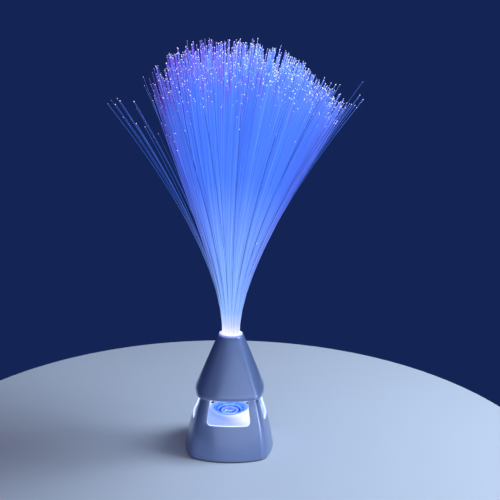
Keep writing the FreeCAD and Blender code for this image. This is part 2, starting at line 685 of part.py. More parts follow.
pad_seats = new_sketch(base_plate, "FootSeats", offset="foot_lift")
for x, y in four_ways("foot_pad_x", "foot_pad_y"):
    circle(pad_seats, x, y, "foot_pad_radius + thread_gap")
cut(base_plate, pad_seats, "foot_pad_seat", along_normal=True)
for name, radius, depth in (("BaseHeadRoom", "head_radius + sleeve_gap", "base_seat - foot_lift"),
                            ("BaseShankRoom", "shank_radius + sleeve_gap", "plate_thickness")):
    room = new_sketch(base_plate, name, offset="foot_lift")
    for x, y in four_ways("base_screw_x", "base_screw_y"):
        circle(room, x, y, radius)
    cut(base_plate, room, depth, along_normal=True)
post_pilots = new_sketch(base_plate, "PostPilots", offset="tray_under")
for side in (-1, 1):
    circle(post_pilots, f"{side} * tray_post_x", "tray_post_y", "shank_radius + thread_gap")
cut(base_plate, post_pilots, "tray_screw_reach")
lead_ways = new_sketch(base_plate, "LeadWays", offset="roof_top")
for side in (-1, 1):
    circle(lead_ways, "lead_x", f"{side} * cell_pitch", "lead_radius + sleeve_gap")
cut(base_plate, lead_ways, "2 * box_wall")

# ---- battery door and its screw ----

battery_door = new_body("battery_door")
door = new_sketch(battery_door, "DoorOutline", offset="foot_lift")
door_outline(door, "0")
pad(battery_door, door, "door_thickness")
for side in (-1, 1):
    tab = new_sketch(battery_door, f"Tab{side + 1}", "XZ_Plane", offset=f"{side} * cell_pitch / 2")
    polygon(tab, [("-1 * door_half_x", "foot_lift"), ("tab_root - door_half_x", "foot_lift"),
                  ("tab_root - door_half_x", "tab_top"), ("-1 * ( door_half_x + tab_length )", "tab_top"),
                  ("-1 * ( door_half_x + tab_length )", "ledge_top + fit_gap"),
                  ("-1 * door_half_x", "ledge_top + fit_gap")])
    pad(battery_door, tab, "tab_width", both_ways=True)
for name, radius, depth in (("DoorHeadRoom", "head_radius + sleeve_gap", "door_head_height"),
                            ("DoorShankRoom", "door_screw_radius + sleeve_gap", "2 * door_thickness")):
    room = new_sketch(battery_door, name, offset="foot_lift")
    circle(room, "door_screw_x", "0", radius)
    cut(battery_door, room, depth, along_normal=True)

screw_blank = new_screw("DoorScrewBlank", "door_screw_x", "0", "foot_lift + door_head_height",
                        "door_screw_reach", head=("head_radius", "door_head_height"),
                        shank="door_screw_radius")
screw_slot = new_box("DoorScrewSlot", "2 * head_radius", "slot_width", "door_head_height / 2",
                     "door_screw_x - head_radius", "-1 * slot_width / 2", "foot_lift")
door_screw = doc.addObject("Part::Cut", "door_screw")
door_screw.Base = screw_blank
door_screw.Tool = screw_slot

# ---- cells, contacts and springs ----

NUB_SIDES = {"battery_front": -1, "battery_middle": 1, "battery_rear": -1}
plates = []
springs = []
cells = []
for row, (name, side) in enumerate(NUB_SIDES.items(), start=-1):
    line = f"{row} * cell_pitch"
    barrel = new_cylinder(name + "Barrel", "cell_radius", "cell_length", y=line, z="cell_middle")
    barrel.Placement.Rotation = FreeCAD.Rotation(Y_AXIS, 90 * side)
    barrel.setExpression("Placement.Base.x", bind(f"{side} * ( flat_end )"))
    nub = new_cylinder(name + "Nub", "nub_radius", "nub_length", y=line, z="cell_middle")
    nub.Placement.Rotation = FreeCAD.Rotation(Y_AXIS, 90 * side)
    nub.setExpression("Placement.Base.x", bind(f"{side} * ( flat_end + cell_length )"))
    cells.append(fuse(name, barrel, nub))
    for end in (-1, 1):
        place = "box_half_x - contact_thickness" if end == 1 else "-1 * box_half_x"
        plates.append(new_box(f"{name}Plate{end + 1}", "contact_thickness", "2 * contact_half",
                              "2 * contact_half", place, f"{line} - contact_half",
                              "cell_middle - contact_half"))
    start = number("box_half_x - contact_thickness - spring_corner")
    finish = number("box_half_x - contact_thickness - spring_length + spring_corner")
    turns = number("spring_turns")
    steps = round(7 * turns)
    coil = []
    for step in range(steps + 1):
        share = step / steps
        angle = 2 * math.pi * turns * share
        reach = number("spring_wide") + (number("spring_narrow") - number("spring_wide")) * share
        coil.append(FreeCAD.Vector(-side * (start + (finish - start) * share),
                                   number(line) + reach * math.cos(angle),
                                   number("cell_middle") + reach * math.sin(angle)))
    springs.append(prism_along(coil, number("spring_wire"), 4))
contact_plates = group("contact_plates", plates)
contact_springs = doc.addObject("Part::Feature", "contact_springs")
contact_springs.Shape = Part.makeCompound(springs)

# ---- feet, base screws, switch ----

feet = []
for depth_name, end in (("front", -1), ("rear", 1)):
    for side_name, side in (("left", -1), ("right", 1)):
        foot = doc.addObject("Part::Cone", f"rubber_foot_{depth_name}_{side_name}")
        foot.setExpression("Radius1", bind("foot_pad_radius - foot_pad_taper"))
        foot.setExpression("Radius2", bind("foot_pad_radius"))
        foot.setExpression("Height", bind("foot_lift + foot_pad_seat"))
        set_place(foot, f"{side} * foot_pad_x", f"{end} * foot_pad_y", "0")
        feet.append(foot)
screws = [new_screw(f"BaseScrew{index}", x, y, "base_seat", "base_screw_reach")
          for index, (x, y) in enumerate(four_ways("base_screw_x", "base_screw_y"))]
base_screws = group("base_screws", screws)

switch_body = new_box("switch_body", "switch_width", "switch_deep", "switch_tall", "-1 * switch_width / 2",
                      "switch_face - switch_deep", "switch_height - switch_tall / 2")
switch_knob = new_body("switch_knob")
knob = new_sketch(switch_knob, "KnobSection", "XZ_Plane", offset="-1 * ( switch_face + sleeve_gap )")
knob_middle = "-1 * switch_travel / 2"
rectangle(knob, f"{knob_middle} - knob_width / 2", "switch_height - knob_tall / 2",
          f"{knob_middle} + knob_width / 2", "switch_height + knob_tall / 2")
pad(switch_knob, knob, "switch_outer + knob_proud - switch_face - sleeve_gap", reversed_way=True)
for step in (-1, 0, 1):
    groove = new_sketch(switch_knob, f"KnobGroove{step + 1}", offset="switch_height - knob_tall / 2")
    middle = f"{knob_middle} + {step} * groove_pitch"
    rectangle(groove, f"{middle} - groove_width / 2", "switch_outer + knob_proud - groove_width",
              f"{middle} + groove_width / 2", "switch_outer + knob_proud + groove_width")
    cut(switch_knob, groove, "knob_tall", along_normal=True)

# ---- tray, lens and LED board ----

tray = new_body("reflector_tray")
deck = new_sketch(tray, "TrayOutline", offset="tray_under")
tray_half = base_half("tray_edge_top")
squircle(deck, f"{tray_half} - wall - sleeve_gap", f"bow_ratio * ( {tray_half} ) - wall - sleeve_gap",
         f"{base_corner('tray_edge_top')} - wall - sleeve_gap")
pad(tray, deck, "tray_thickness + tray_rise")
for plane in ("XZ_Plane", "YZ_Plane"):
    for side in (-1, 1):
        slope = new_sketch(tray, f"Slope{plane[:2]}{side + 1}", plane)
        clear_top = "tray_top + tray_rise"
        polygon(slope, [(f"{side} * slope_inner", "tray_top"), (f"{side} * slope_outer", "tray_edge_top"),
                        (f"{side} * foot_half", "tray_edge_top"), (f"{side} * foot_half", clear_top),
                        (f"{side} * slope_inner", clear_top)])
        cut(tray, slope)
for name, radius, depth in (("LensSeat", "lens_foot + lens_ledge", "tray_top - lens_bottom"),
                            ("LightWay", "lens_foot - lens_ledge", "2 * ( tray_top - tray_under )")):
    seat = new_sketch(tray, name, offset="tray_top")
    circle(seat, "0", "0", radius)
    cut(tray, seat, depth)
for name, radius, depth in (("TrayHeadRoom", "head_radius + sleeve_gap", "tray_rise"),
                            ("TrayShankRoom", "shank_radius + sleeve_gap", "2 * ( tray_top - tray_under )")):
    room = new_sketch(tray, name, offset="tray_top")
    for side in (-1, 1):
        circle(room, f"{side} * tray_post_x", "tray_post_y", radius)
    cut(tray, room, depth)
pegs = new_sketch(tray, "BoardPegs", offset="board_top")
for side in (-1, 1):
    circle(pegs, f"{side} * peg_at", "0", "peg_radius")
pad(tray, pegs, "peg_length")
peg_pilots = new_sketch(tray, "PegPilots", offset="board_top")
for side in (-1, 1):
    circle(peg_pilots, f"{side} * peg_at", "0", "shank_radius + thread_gap")
cut(tray, peg_pilots, "board_screw_reach - board_thickness", along_normal=True)
shank_length = "tray_screw_reach + tray_thickness - fit_gap"
screws = [new_screw(f"TrayScrew{side + 1}", f"{side} * tray_post_x", "tray_post_y",
                    "tray_edge_top", shank_length, downwards=True) for side in (-1, 1)]
tray_screws = group("tray_screws", screws)

lens = new_body("crystal_lens")
lens_profile = new_sketch(lens, "LensProfile", "XZ_Plane")
lens_top = "lens_bottom + lens_height"
polygon(lens_profile, [("0", "lens_bottom"), ("lens_foot", "lens_bottom"),
                       ("lens_hip", "lens_bottom + lens_hip_height"),
                       ("lens_rim", lens_top), ("lens_rim - lens_step", lens_top),
                       ("lens_rim - 2 * lens_step", "lens_bottom + lens_ring_high"),
                       ("lens_rim - 3 * lens_step", "lens_bottom + lens_ring_high"),
                       ("lens_rim - 4 * lens_step", "lens_bottom + lens_ring_low"),
                       ("lens_foot - lens_step / 2", "lens_bottom + lens_ring_low"),
                       ("lens_foot - 3 * lens_step / 2", "lens_bottom + lens_floor"),
                       ("bead_radius", "lens_bottom + lens_floor"),
                       ("bead_radius - lens_step / 2", "lens_bottom + bead_side"),
                       ("bead_flat", "lens_bottom + bead_height"), ("0", "lens_bottom + bead_height")])
turn_solid(lens, lens_profile)

board = new_body("led_board")
disc = new_sketch(board, "BoardOutline", offset="board_under")
circle(disc, "0", "0", "board_radius")
pad(board, disc, "board_thickness")
board_holes = new_sketch(board, "BoardHoles", offset="board_under")
for side in (-1, 1):
    circle(board_holes, f"{side} * peg_at", "0", "shank_radius + sleeve_gap")
cut(board, board_holes, "board_thickness", along_normal=True)
screws = [new_screw(f"BoardScrew{side + 1}", f"{side} * peg_at", "0", "board_under",
                    "board_screw_reach - fit_gap") for side in (-1, 1)]
board_screws = group("board_screws", screws)
leds = []
collar_top = "board_top + 2 * led_collar"
# The dome's outline: shares of its radius outwards from the LED's axis, and downwards from its tip.
DOME = ((1, 0.8), (0.75, 0.3), (0.3, 0))
for name, bearing in (("led_red", 90), ("led_green", 210), ("led_blue", 330)):
    led = new_body(name)
    profile = new_sketch(led, name + "Profile", "XZ_Plane")
    outline = [("0", "board_top"), ("led_radius + led_collar", "board_top"),
               ("led_radius + led_collar", collar_top), ("led_radius", collar_top)]
    outline += [(f"led_radius * {out}", f"led_tip - led_radius * {down}") for out, down in DOME]
    polygon(profile, outline + [("0", "led_tip")])
    turn_solid(led, profile)
    set_place(led, f"led_at * cos({bearing} deg)", f"led_at * sin({bearing} deg)")
    leds.append(led)
chip = new_box("controller_chip", "chip_width", "chip_width", "chip_height", "-1 * chip_width / 2",
               "-1 * chip_width / 2", "board_under - chip_height")
row = [new_box(f"Resistor{place + 1}", "resistor_length", "resistor_length / 2", "resistor_length / 5",
               f"{place} * 2 * resistor_length - resistor_length / 2",
               "-1 * ( chip_width / 2 + 1.5 * resistor_length )",
               "board_under - resistor_length / 5") for place in (-1, 0, 1)]
resistors = group("resistors", row)

# ---- leads: each lies along a few chosen points, between two pieces whose places are worked out ----

LEAD_SIDES = 6
thick = number("2 * lead_radius")


def route_between(start, finish, bends):
    """Give the points of a lead's route.

    A bend is three shares of the way from start to finish, and how many thicknesses it lies above that place.
    """
    points = [start]
    for across, along, up, lift in bends:
        way = finish - start
        place = start + FreeCAD.Vector(way.x * across, way.y * along, way.z * up)
        points.append(place + Z_AXIS * lift * thick)
    return points + [finish]


BATTERY_LEAD_BENDS = [(0, 0, 0.5, 0), (0.1, 0, 0.7, 0), (0.3, 0.2, 0.75, 0),
                      (0.75, 0.8, 0.9, -1), (1, 1, 1, -1)]
for name, side in (("battery_lead_red", 1), ("battery_lead_black", -1)):
    tag_height = number("cell_middle + contact_half - 2 * lead_radius")
    tag = FreeCAD.Vector(number("lead_x"), side * number("cell_pitch"), tag_height)
    pad_place = FreeCAD.Vector(number("lead_meets"), side * number("lead_spread"), number("board_under"))
    piece = doc.addObject("Part::Feature", name)
    piece.Shape = prism_along(route_between(tag, pad_place, BATTERY_LEAD_BENDS), thick, LEAD_SIDES)
SWITCH_LEAD_BENDS = [(0, 0, 0.3, 0), (0, 0.15, 0.6, 0), (0, 0.5, 0.85, -1),
                     (0, 0.85, 0.97, -1), (0, 1, 1, -1)]
pair = []
for side in (-1, 1):
    pin = FreeCAD.Vector(side * number("switch_width / 4"), number("switch_face - switch_deep / 2"),
                         number("switch_height + switch_tall / 2"))
    pad_place = FreeCAD.Vector(pin.x, number("board_radius") - 2 * thick, number("board_under"))
    pair.append(prism_along(route_between(pin, pad_place, SWITCH_LEAD_BENDS), thick, LEAD_SIDES))
switch_leads = doc.addObject("Part::Feature", "switch_leads")
switch_leads.Shape = Part.makeCompound(pair)

# ---- hood shell ----


def hood_section(body, name, height, inset="0"):
    """Sketch the hood's outline at a height between its skirt and its top, drawn in by an inset."""
    sketch = new_sketch(body, name, offset=height)
    along = f"( {height} - skirt_top ) / ( hood_top - skirt_top )"
    outline = []
    for low, high in (("rim_half", "hood_top_half"), ("hood_bow_ratio * rim_half", "hood_top_bow"),
                      ("rim_corner", "hood_top_corner")):
        outline.append(f"{low} + ( {high} - {low} ) * {along} - {inset}")
    squircle(sketch, *outline)
    return sketch


hood = new_body("hood_shell")
skirt = new_sketch(hood, "SkirtOutside", offset="rim_height")
squircle(skirt, "rim_half", "hood_bow_ratio * rim_half", "rim_corner")
pad(hood, skirt, "skirt_height")
loft(hood, "AdditiveLoft", [hood_section(hood, "HoodFoot", "skirt_top"),
                            hood_section(hood, "HoodHead", "hood_top")])
bend_height = number("skirt_top")
round_edges(hood, "skirt_bend", lambda edge: at_height(edge, bend_height))
skirt_inside = new_sketch(hood, "SkirtInside", offset="rim_height")
squircle(skirt_inside, "rim_half - wall", "hood_bow_ratio * rim_half - wall", "rim_corner - wall")
cut(hood, skirt_inside, "skirt_height", along_normal=True)
loft(hood, "SubtractiveLoft", [hood_section(hood, "HoodInsideFoot", "skirt_top", "wall"),
                               hood_section(hood, "HoodInsideHead", "hood_under", "wall")])
sleeve_way = new_sketch(hood, "SleeveWay", offset="hood_top")
circle(sleeve_way, "0", "0", "ferrule_radius + sleeve_gap")
cut(hood, sleeve_way, "2 * hood_roof")
hood_bosses = new_sketch(hood, "HoodBosses", offset="base_height")
for x, y in four_ways("hood_boss_at", "hood_boss_at"):
    circle(hood_bosses, x, y, "boss_radius")
pad(hood, hood_bosses, "hood_boss_top - base_height")
hood_pilots = new_sketch(hood, "HoodPilots", offset="base_height")
for x, y in four_ways("hood_boss_at", "hood_boss_at"):
    circle(hood_pilots, x, y, "shank_radius + thread_gap")
cut(hood, hood_pilots, "base_screw_reach", along_normal=True)
screws = [new_screw(f"HoodScrew{index}", x, y, "flange_under", "base_screw_reach")
          for index, (x, y) in enumerate(four_ways("hood_boss_at", "hood_boss_at"))]
hood_screws = group("hood_screws", screws)

# ---- light funnel, ferrule and strands ----

funnel = new_body("light_funnel")
funnel_profile = new_sketch(funnel, "FunnelProfile", "XZ_Plane")
neck_inner = "ferrule_radius + sleeve_gap"
polygon(funnel_profile, [("light_way", "base_height"), ("ferrule_bore + ferrule_wall / 2", "funnel_shoulder"),
                         (neck_inner, "funnel_shoulder"), (neck_inner, "funnel_shoulder + neck_length"),
                         (f"{neck_inner} + funnel_wall", "funnel_shoulder + neck_length"),
                         (f"{neck_inner} + funnel_wall", "funnel_shoulder - funnel_wall"),
                         ("light_way + funnel_wall", "base_height + funnel_wall"),
                         ("funnel_lip", "base_height + funnel_wall"), ("funnel_lip", "base_height")])
turn_solid(funnel, funnel_profile)

ferrule = new_body("bundle_ferrule")
ferrule_profile = new_sketch(ferrule, "FerruleProfile", "XZ_Plane")
polygon(ferrule_profile, [("ferrule_bore", "funnel_shoulder"), ("ferrule_radius", "funnel_shoulder"),
                          ("ferrule_radius", "hood_top"), ("ferrule_radius + land", "hood_top"),
                          ("ferrule_radius + land", "flange_top - ferrule_flange / 3"),
                          ("ferrule_radius + land - ferrule_flange / 3", "flange_top"),
                          ("ferrule_bore", "flange_top")])
turn_solid(ferrule, ferrule_profile)


def strand_points(root, bearing, lean, right, outward):
    """Give the run of points of one strand: upright in the ferrule, then bending outwards and drooping.

    Rise is the height above the ferrule. The strand goes outwards by lean * (rise - bend * (1 - exp(-rise /
    bend))) + outward * rise^2, and to the right by right * rise^2. Its tip lies on a dome that falls with the
    square of the distance from the axis.
    """
    bend = number("spray_bend")
    foot = number("funnel_shoulder")
    mouth = number("flange_top")

    def place(height):
        rise = height - mouth
        reach = root + lean * (rise - bend * (1 - math.exp(-rise / bend))) + outward * rise ** 2
        return reach * math.cos(bearing) + right * rise ** 2, reach * math.sin(bearing)

    tip = number("spray_height")
    for attempt in range(TIP_STEPS):
        x, y = place(tip)
        tip = (tip + number("spray_height") - number("dome_fall") * (x ** 2 + y ** 2)) / 2
    heights = [mouth + (tip - mouth) * (step / STRAND_STEPS) ** 1.5 for step in range(STRAND_STEPS + 1)]
    points = [FreeCAD.Vector(*place(height), height) for height in heights]
    return [FreeCAD.Vector(points[0].x, points[0].y, foot)] + points


STRAND_SIDES = 6
STRAND_STEPS = 4
TIP_STEPS = 30
rings = int(number("strand_rings"))
stray_every = int(number("stray_every"))
stray_kinds = int(number("stray_kinds"))
droop = number("spray_droop")
strands = [prism_along(strand_points(0, 0, 0, droop, 0), number("strand_thickness"), STRAND_SIDES)]
for ring in range(1, rings + 1):
    for place in range(6 * ring):
        bearing = 2 * math.pi * place / (6 * ring)
        stray = 0
        if ring == rings and place % stray_every == 0:
            least = number("stray_least")
            kind = stray_kinds - min(place, 6 * ring - place) // stray_every % stray_kinds
            stray = (least + (1 - least) * (1 - math.cos(bearing)) / 2) * kind / stray_kinds
        lean = number(f"spray_lean * {ring} / strand_rings + ( stray_lean - spray_lean ) * {stray}")
        points = strand_points(ring * number("strand_pitch"), bearing, lean, droop * (1 - stray),
                               number("stray_droop") * stray)
        strands.append(prism_along(points, number("strand_thickness"), STRAND_SIDES))
fibre_strands = doc.addObject("Part::Feature", "fibre_strands")
fibre_strands.Shape = Part.makeCompound(strands)

# ---- check and write ----

LEADS = [doc.getObject("battery_lead_red"), doc.getObject("battery_lead_black"), switch_leads]
PIECES = [base_shell, base_plate, battery_door, door_screw, contact_plates, contact_springs, base_screws,
          switch_body, switch_knob, tray, tray_screws, lens, board, board_screws, chip, resistors, hood,
          hood_screws, funnel, ferrule, fibre_strands] + cells + feet + leds + LEADS

doc.recompute()
for item in doc.Objects:
    if "Invalid" in item.State or "Error" in item.State:
        raise RuntimeError(item.Label + " failed")
for piece in PIECES:
    if piece.Shape.isNull() or not piece.Shape.isValid():
        raise RuntimeError(piece.Label + " has no valid shape")
os.makedirs("parts", exist_ok=True)
for piece in PIECES:
    piece.Shape.exportStep(f"parts/{piece.Name}.step")
    print(f"{piece.Name}: {len(piece.Shape.Solids)} solids, {piece.Shape.Volume:.1f} cubic mm")
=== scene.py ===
"""Fibre optic table lamp: a windowed base, a hood and a spray of lit fibres, round the lamp's own parts.

Metres, +Z up, and the front faces -Y. The casings, tray, lens, collar and fibres are surfaces worked out on
grids of points. The other parts keep their own shapes and get a finish.
"""
import json
import math

import bmesh
import bpy
import numpy as np
from mathutils import Matrix, Vector


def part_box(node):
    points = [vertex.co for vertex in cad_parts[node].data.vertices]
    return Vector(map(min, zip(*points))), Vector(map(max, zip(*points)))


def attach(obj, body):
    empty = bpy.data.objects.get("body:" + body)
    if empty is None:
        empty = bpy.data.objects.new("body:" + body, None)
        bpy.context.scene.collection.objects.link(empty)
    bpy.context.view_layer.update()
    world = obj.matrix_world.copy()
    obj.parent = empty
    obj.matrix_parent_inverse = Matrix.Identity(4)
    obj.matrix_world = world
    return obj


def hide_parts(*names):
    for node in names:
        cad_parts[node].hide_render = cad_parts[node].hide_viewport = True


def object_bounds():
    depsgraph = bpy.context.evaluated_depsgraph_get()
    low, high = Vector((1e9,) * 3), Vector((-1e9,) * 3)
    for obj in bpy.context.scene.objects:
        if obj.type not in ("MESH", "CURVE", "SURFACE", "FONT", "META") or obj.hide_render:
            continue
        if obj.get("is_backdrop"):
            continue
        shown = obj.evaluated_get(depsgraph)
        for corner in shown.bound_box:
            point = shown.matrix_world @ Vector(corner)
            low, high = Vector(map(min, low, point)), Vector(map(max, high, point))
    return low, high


bl_info = {
    "name": "Fibre Optic Lamp",
    "version": (1, 0, 0),
    "blender": (4, 5, 0),
    "location": "View3D > Sidebar > Lamp",
    "description": "Builds a fibre optic table lamp and its studio stage",
    "category": "Add Mesh",
}

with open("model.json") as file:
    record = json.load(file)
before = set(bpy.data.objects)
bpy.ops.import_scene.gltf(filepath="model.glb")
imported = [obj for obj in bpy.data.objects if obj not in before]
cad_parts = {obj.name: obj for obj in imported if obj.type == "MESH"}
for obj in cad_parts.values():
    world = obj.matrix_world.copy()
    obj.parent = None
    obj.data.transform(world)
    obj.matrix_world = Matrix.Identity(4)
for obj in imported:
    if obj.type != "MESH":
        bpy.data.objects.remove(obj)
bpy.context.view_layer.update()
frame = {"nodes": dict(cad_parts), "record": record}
MM = 0.001
FIT_GAP = 0.15 * MM


# ---- settings ----

def length(name, description, default):
    """A length in metres that a user can change."""
    return bpy.props.FloatProperty(name=name, description=description, default=default, unit="LENGTH",
                                   precision=5, min=0.0)


def colour(name, description, default):
    """A colour that a user can change."""
    return bpy.props.FloatVectorProperty(name=name, description=description, default=default,
                                         subtype="COLOR", size=3, min=0.0, max=1.0)


def share(name, description, default):
    """A plain number that a user can change."""
    return bpy.props.FloatProperty(name=name, description=description, default=default, min=0.0)


def number(name, description, default, most):
    """A whole number that a user can change."""
    return bpy.props.IntProperty(name=name, description=description, default=default, min=1, max=most)


def power(name, description, default):
    """A light's power in watts that a user can change."""
    return bpy.props.FloatProperty(name=name, description=description, default=default, unit="POWER",
                                   precision=4, min=0.0)


class LampShape(bpy.types.PropertyGroup):
    """Sizes of the two casings, the tray, the lens and the collar."""
    foot_half: length("Foot half width", "Half width of the base at the table", 40.5 * MM)
    crown_half: length("Crown half width", "Half width of the base under the hood", 24.9 * MM)
    bulge: length("Base bulge", "How far the base's side bows out of a straight taper", 1.4 * MM)
    bow_ratio: share("Base bow", "Radius of the base's bowed sides over half width, at the table", 1.78)
    crown_ratio: share("Crown bow", "Radius of the base's bowed sides over half width, under the hood", 3.4)
    foot_corner: length("Foot corner", "Corner radius of the base at the table", 13.0 * MM)
    crown_corner: length("Crown corner", "Corner radius of the base under the hood", 5.6 * MM)
    wall: length("Wall", "Wall of both casings", 2.0 * MM)
    sill: length("Sill", "Height of the window sills", 30.8 * MM)
    lintel: length("Lintel", "Height of the windows' upper edges", 54.4 * MM)
    sill_half: length("Sill half width", "Half width of a window at its sill", 19.1 * MM)
    lintel_half: length("Lintel half width", "Half width of a window at its upper edge", 16.0 * MM)
    window_round: length("Window corner", "Radius of a window's corners", 3.2 * MM)
    light_way: length("Light way", "Radius of the hole through the base's upper flange", 16.0 * MM)
    rim_half: length("Rim half width", "Half width of the hood at its rim", 31.2 * MM)
    rim_corner: length("Rim corner", "Corner radius of the hood at its rim", 11.5 * MM)
    rim_bow: length("Rim bow", "Radius of the hood's bowed sides at its rim", 65.52 * MM)
    skirt: length("Skirt", "Height of the hood's upright skirt", 3.4 * MM)
    skirt_bend: length("Skirt bend", "Half height of the bend above the skirt", 1.7 * MM)
    top_half: length("Top half width", "Half width of the hood's flat top", 11.3 * MM)
    top_corner: length("Top corner", "Corner radius of the hood's flat top", 8.0 * MM)
    top_bow: length("Top bow", "Radius of the bowed sides at the hood's top", 18.0 * MM)
    edge_round: length("Edge round", "Radius of the casings' small edges", 0.4 * MM)
    seat_radius: length("Lens seat", "Radius of the lens's seat in the tray", 11.7 * MM)
    seat_ledge: length("Seat ledge", "Width of the ledge under the lens", 2.8 * MM)
    lens_ring: length("Lens ring", "Width of a ring step of the lens", 1.05 * MM)
    tray_rise: length("Tray rise", "Rise of the tray's slopes from the casing to the lens", 1.2 * MM)
    slope_outer: length("Slope start", "Half width of the square where the tray's slopes start", 28.5 * MM)
    slope_inner: length("Slope end", "Half width of the square where the tray's slopes end", 14.5 * MM)
    peg: length("Peg", "Length of the pegs under the tray", 3.2 * MM)
    post_radius: length("Post radius", "Radius of the screw posts", 2.7 * MM)
    head_radius: length("Screw head", "Radius of the screws' heads", 2.3 * MM)
    hood_post: length("Hood post", "Length of the screw posts in the hood", 14.5 * MM)
    collar_land: length("Collar land", "How far the collar's flange reaches past its sleeve", 1.5 * MM)
    collar_wall: length("Collar wall", "Wall of the collar's sleeve", 1.2 * MM)
    collar_lip: length("Collar lip", "Thickness of the collar's flange", 1.5 * MM)


class LampSpray(bpy.types.PropertyGroup):
    """Number, thickness and spread of the fibres."""
    rings: number("Rings", "Number of rings of fibres round the middle one", 26, 26)
    terraces: number("Terraces", "Number of steps that the tips rise in", 13, 26)
    stray_places: number("Stray places", "Number of places round the bundle where strays start", 21, 60)
    stray_kinds: number("Stray kinds", "Number of leans that the strays take in turn", 5, 10)
    stray_least: share("Stray least", "Share of the widest stray's law that a stray on the right takes", 0.88)
    seed: number("Seed", "Start of the random draws", 7, 9999)
    thickness: length("Fibre thickness", "Thickness of a fibre", 0.31 * MM)
    lean: share("Lean", "Final lean of the outermost even fibres, as run over rise", 0.45)
    stray_lean: share("Stray lean", "Lean of the widest strays without their droop, as run over rise", 0.32)
    droop: share("Droop", "Droop of the spray to the right in metres, over rise squared", 0.37)
    stray_droop: share("Stray droop", "Outward droop of the widest strays in metres, over rise squared", 1.20)
    bend: length("Bend", "Height over which the fibres take up their lean", 45.0 * MM)
    fall: share("Fall", "Fall of the tips in metres, over the square of their distance from the axis", 4.8)
    tip_radius: length("Tip radius", "Radius of a fibre's rounded bright end", 0.34 * MM)


class LampFinish(bpy.types.PropertyGroup):
    """Colours of the lamp's parts, and of the light painted on the tray, the lens and the collar."""
    silver: colour("Silver", "Colour of both casings", (0.196, 0.268, 0.500))
    dark_plastic: colour("Grey", "Colour of the base plate and battery door", (0.11, 0.115, 0.13))
    # Painted light on the tray, with painted shade at its edges.
    tray_dim_light: colour("Tray, cool side", "Light of the tray on its cool side", (0.235, 0.335, 0.97))
    tray_bright_light: colour("Tray, bright side", "Light of the tray on its bright side", (1.0, 1.0, 1.0))
    tray_edge_shade: colour("Tray, edges", "Light of the tray at its left and right edges", (0.06, 0.17, 0.75))
    # The lens's, the bead's and the collar's colours are painted light.
    lens_deep: colour("Lens, deep", "Light in the lens's dark rings", (0.0, 0.045, 0.80))
    lens_pale: colour("Lens, pale", "Light in the lens's bright rings", (0.25, 0.45, 1.0))
    bead: colour("Bead", "Light of the lens's middle", (0.075, 0.125, 0.46))
    collar: colour("Collar", "Light of the collar's edge", (0.22, 0.22, 0.92))
    root: colour("Fibre root", "Light of the fibres at the collar", (0.97, 0.93, 1.0))
    low_shaft: colour("Lower shaft", "Light of the fibres a quarter of the way up", (0.235, 0.430, 0.98))
    shaft: colour("Fibre shaft", "Light of the fibres two thirds of the way up", (0.068, 0.190, 0.93))
    violet: colour("Violet", "Second light colour, near the tips", (0.15, 0.030, 0.66))
    tip: colour("Tip", "Light of the fibres' ends", (0.90, 0.90, 1.0))


class LampStage(bpy.types.PropertyGroup):
    """Floor, surroundings and lights."""
    floor: colour("Floor", "Colour of the floor", (0.50, 0.52, 0.57))
    surroundings: colour("Surroundings", "Colour of the room", (0.007, 0.018, 0.090))
    floor_radius: length("Floor radius", "Radius of the round floor", 0.30)
    key: power("Key light", "Power of the low soft light in front", 4.5)
    strip: power("Strip light", "Power of the narrow light on the right", 1.15)
    side: power("Side light", "Power of the high soft light on the right", 10.0)
    fill: power("Fill light", "Power of the soft light behind the lamp on the left", 0.15)
    top: power("Top light", "Power of the soft light overhead", 3.0)
    inner: power("Inner light", "Power of the lamp's own light", 0.004)


# ---- surfaces ----

ARC_STEPS, LEVEL_STEPS, UPRIGHT_STEPS = 5, 24, 16


def outline(phi, half, bow, corner):
    """Give points on a quarter of a square whose sides bow outwards and whose corners are round.

    phi is the direction of the outward normal, from -45 to 45 degrees. Near 0 the point lies on the side's
    arc, whose centre is bow - half behind the middle of the square. Beyond the angle where the arcs touch, it
    lies on the corner's arc, whose centre is on the diagonal.
    """
    back = bow - half
    place = (np.sqrt(2 * (bow - corner) ** 2 - back ** 2) - back) / 2
    meet = np.arctan2(place, place + back)
    on_side = np.abs(phi) <= meet
    x = np.where(on_side, bow * np.cos(phi) - back, place + corner * np.cos(phi))
    y = np.where(on_side, bow * np.sin(phi), np.sign(phi) * place + corner * np.sin(phi))
    return x, y


def turned_quarter(x, y, turn):
    """Turn points by a number of quarter turns."""
    return [(x, y), (-y, x), (-x, -y), (y, -x)][turn]


def stack(x, y, z):
    """Join three arrays of like shape into points."""
    return np.stack(np.broadcast_arrays(x, y, z), axis=-1)


def at_height(points, z):
    """Move points to a height."""
    return stack(points[..., 0], points[..., 1], z)


def blend(first, second, along):
    """Go a share of the way from the first value to the second."""
    return first + (second - first) * along


def all_round(phi, half, bow, corner, z):
    """Carry a profile round the four sides. The profile's rows give the outline's sizes and height."""
    column = [np.asarray(value, float).reshape(-1, 1) for value in (half, bow, corner, z)]
    x, y = outline(phi[None, :-1], *column[:3])
    quarters = [stack(*turned_quarter(x, y, turn), column[3]) for turn in range(4)]
    return np.concatenate(quarters, axis=1)


def to_circle(ring, radius, height, rows):
    """Run from a ring of points straight to a circle about the axis, keeping each point's bearing."""
    grown = radius / np.hypot(ring[:, 0], ring[:, 1])
    target = stack(ring[:, 0] * grown, ring[:, 1] * grown, height)
    return blend(ring, target, np.linspace(0, 1, rows)[:, None, None])


def turned_profile(profile, columns):
    """Turn a profile of (radius, height) rows round the axis."""
    angle = np.linspace(0, 2 * np.pi, columns, endpoint=False)[None, :]
    radius = profile[:, 0:1]
    return stack(radius * np.cos(angle), radius * np.sin(angle), profile[:, 1:2])


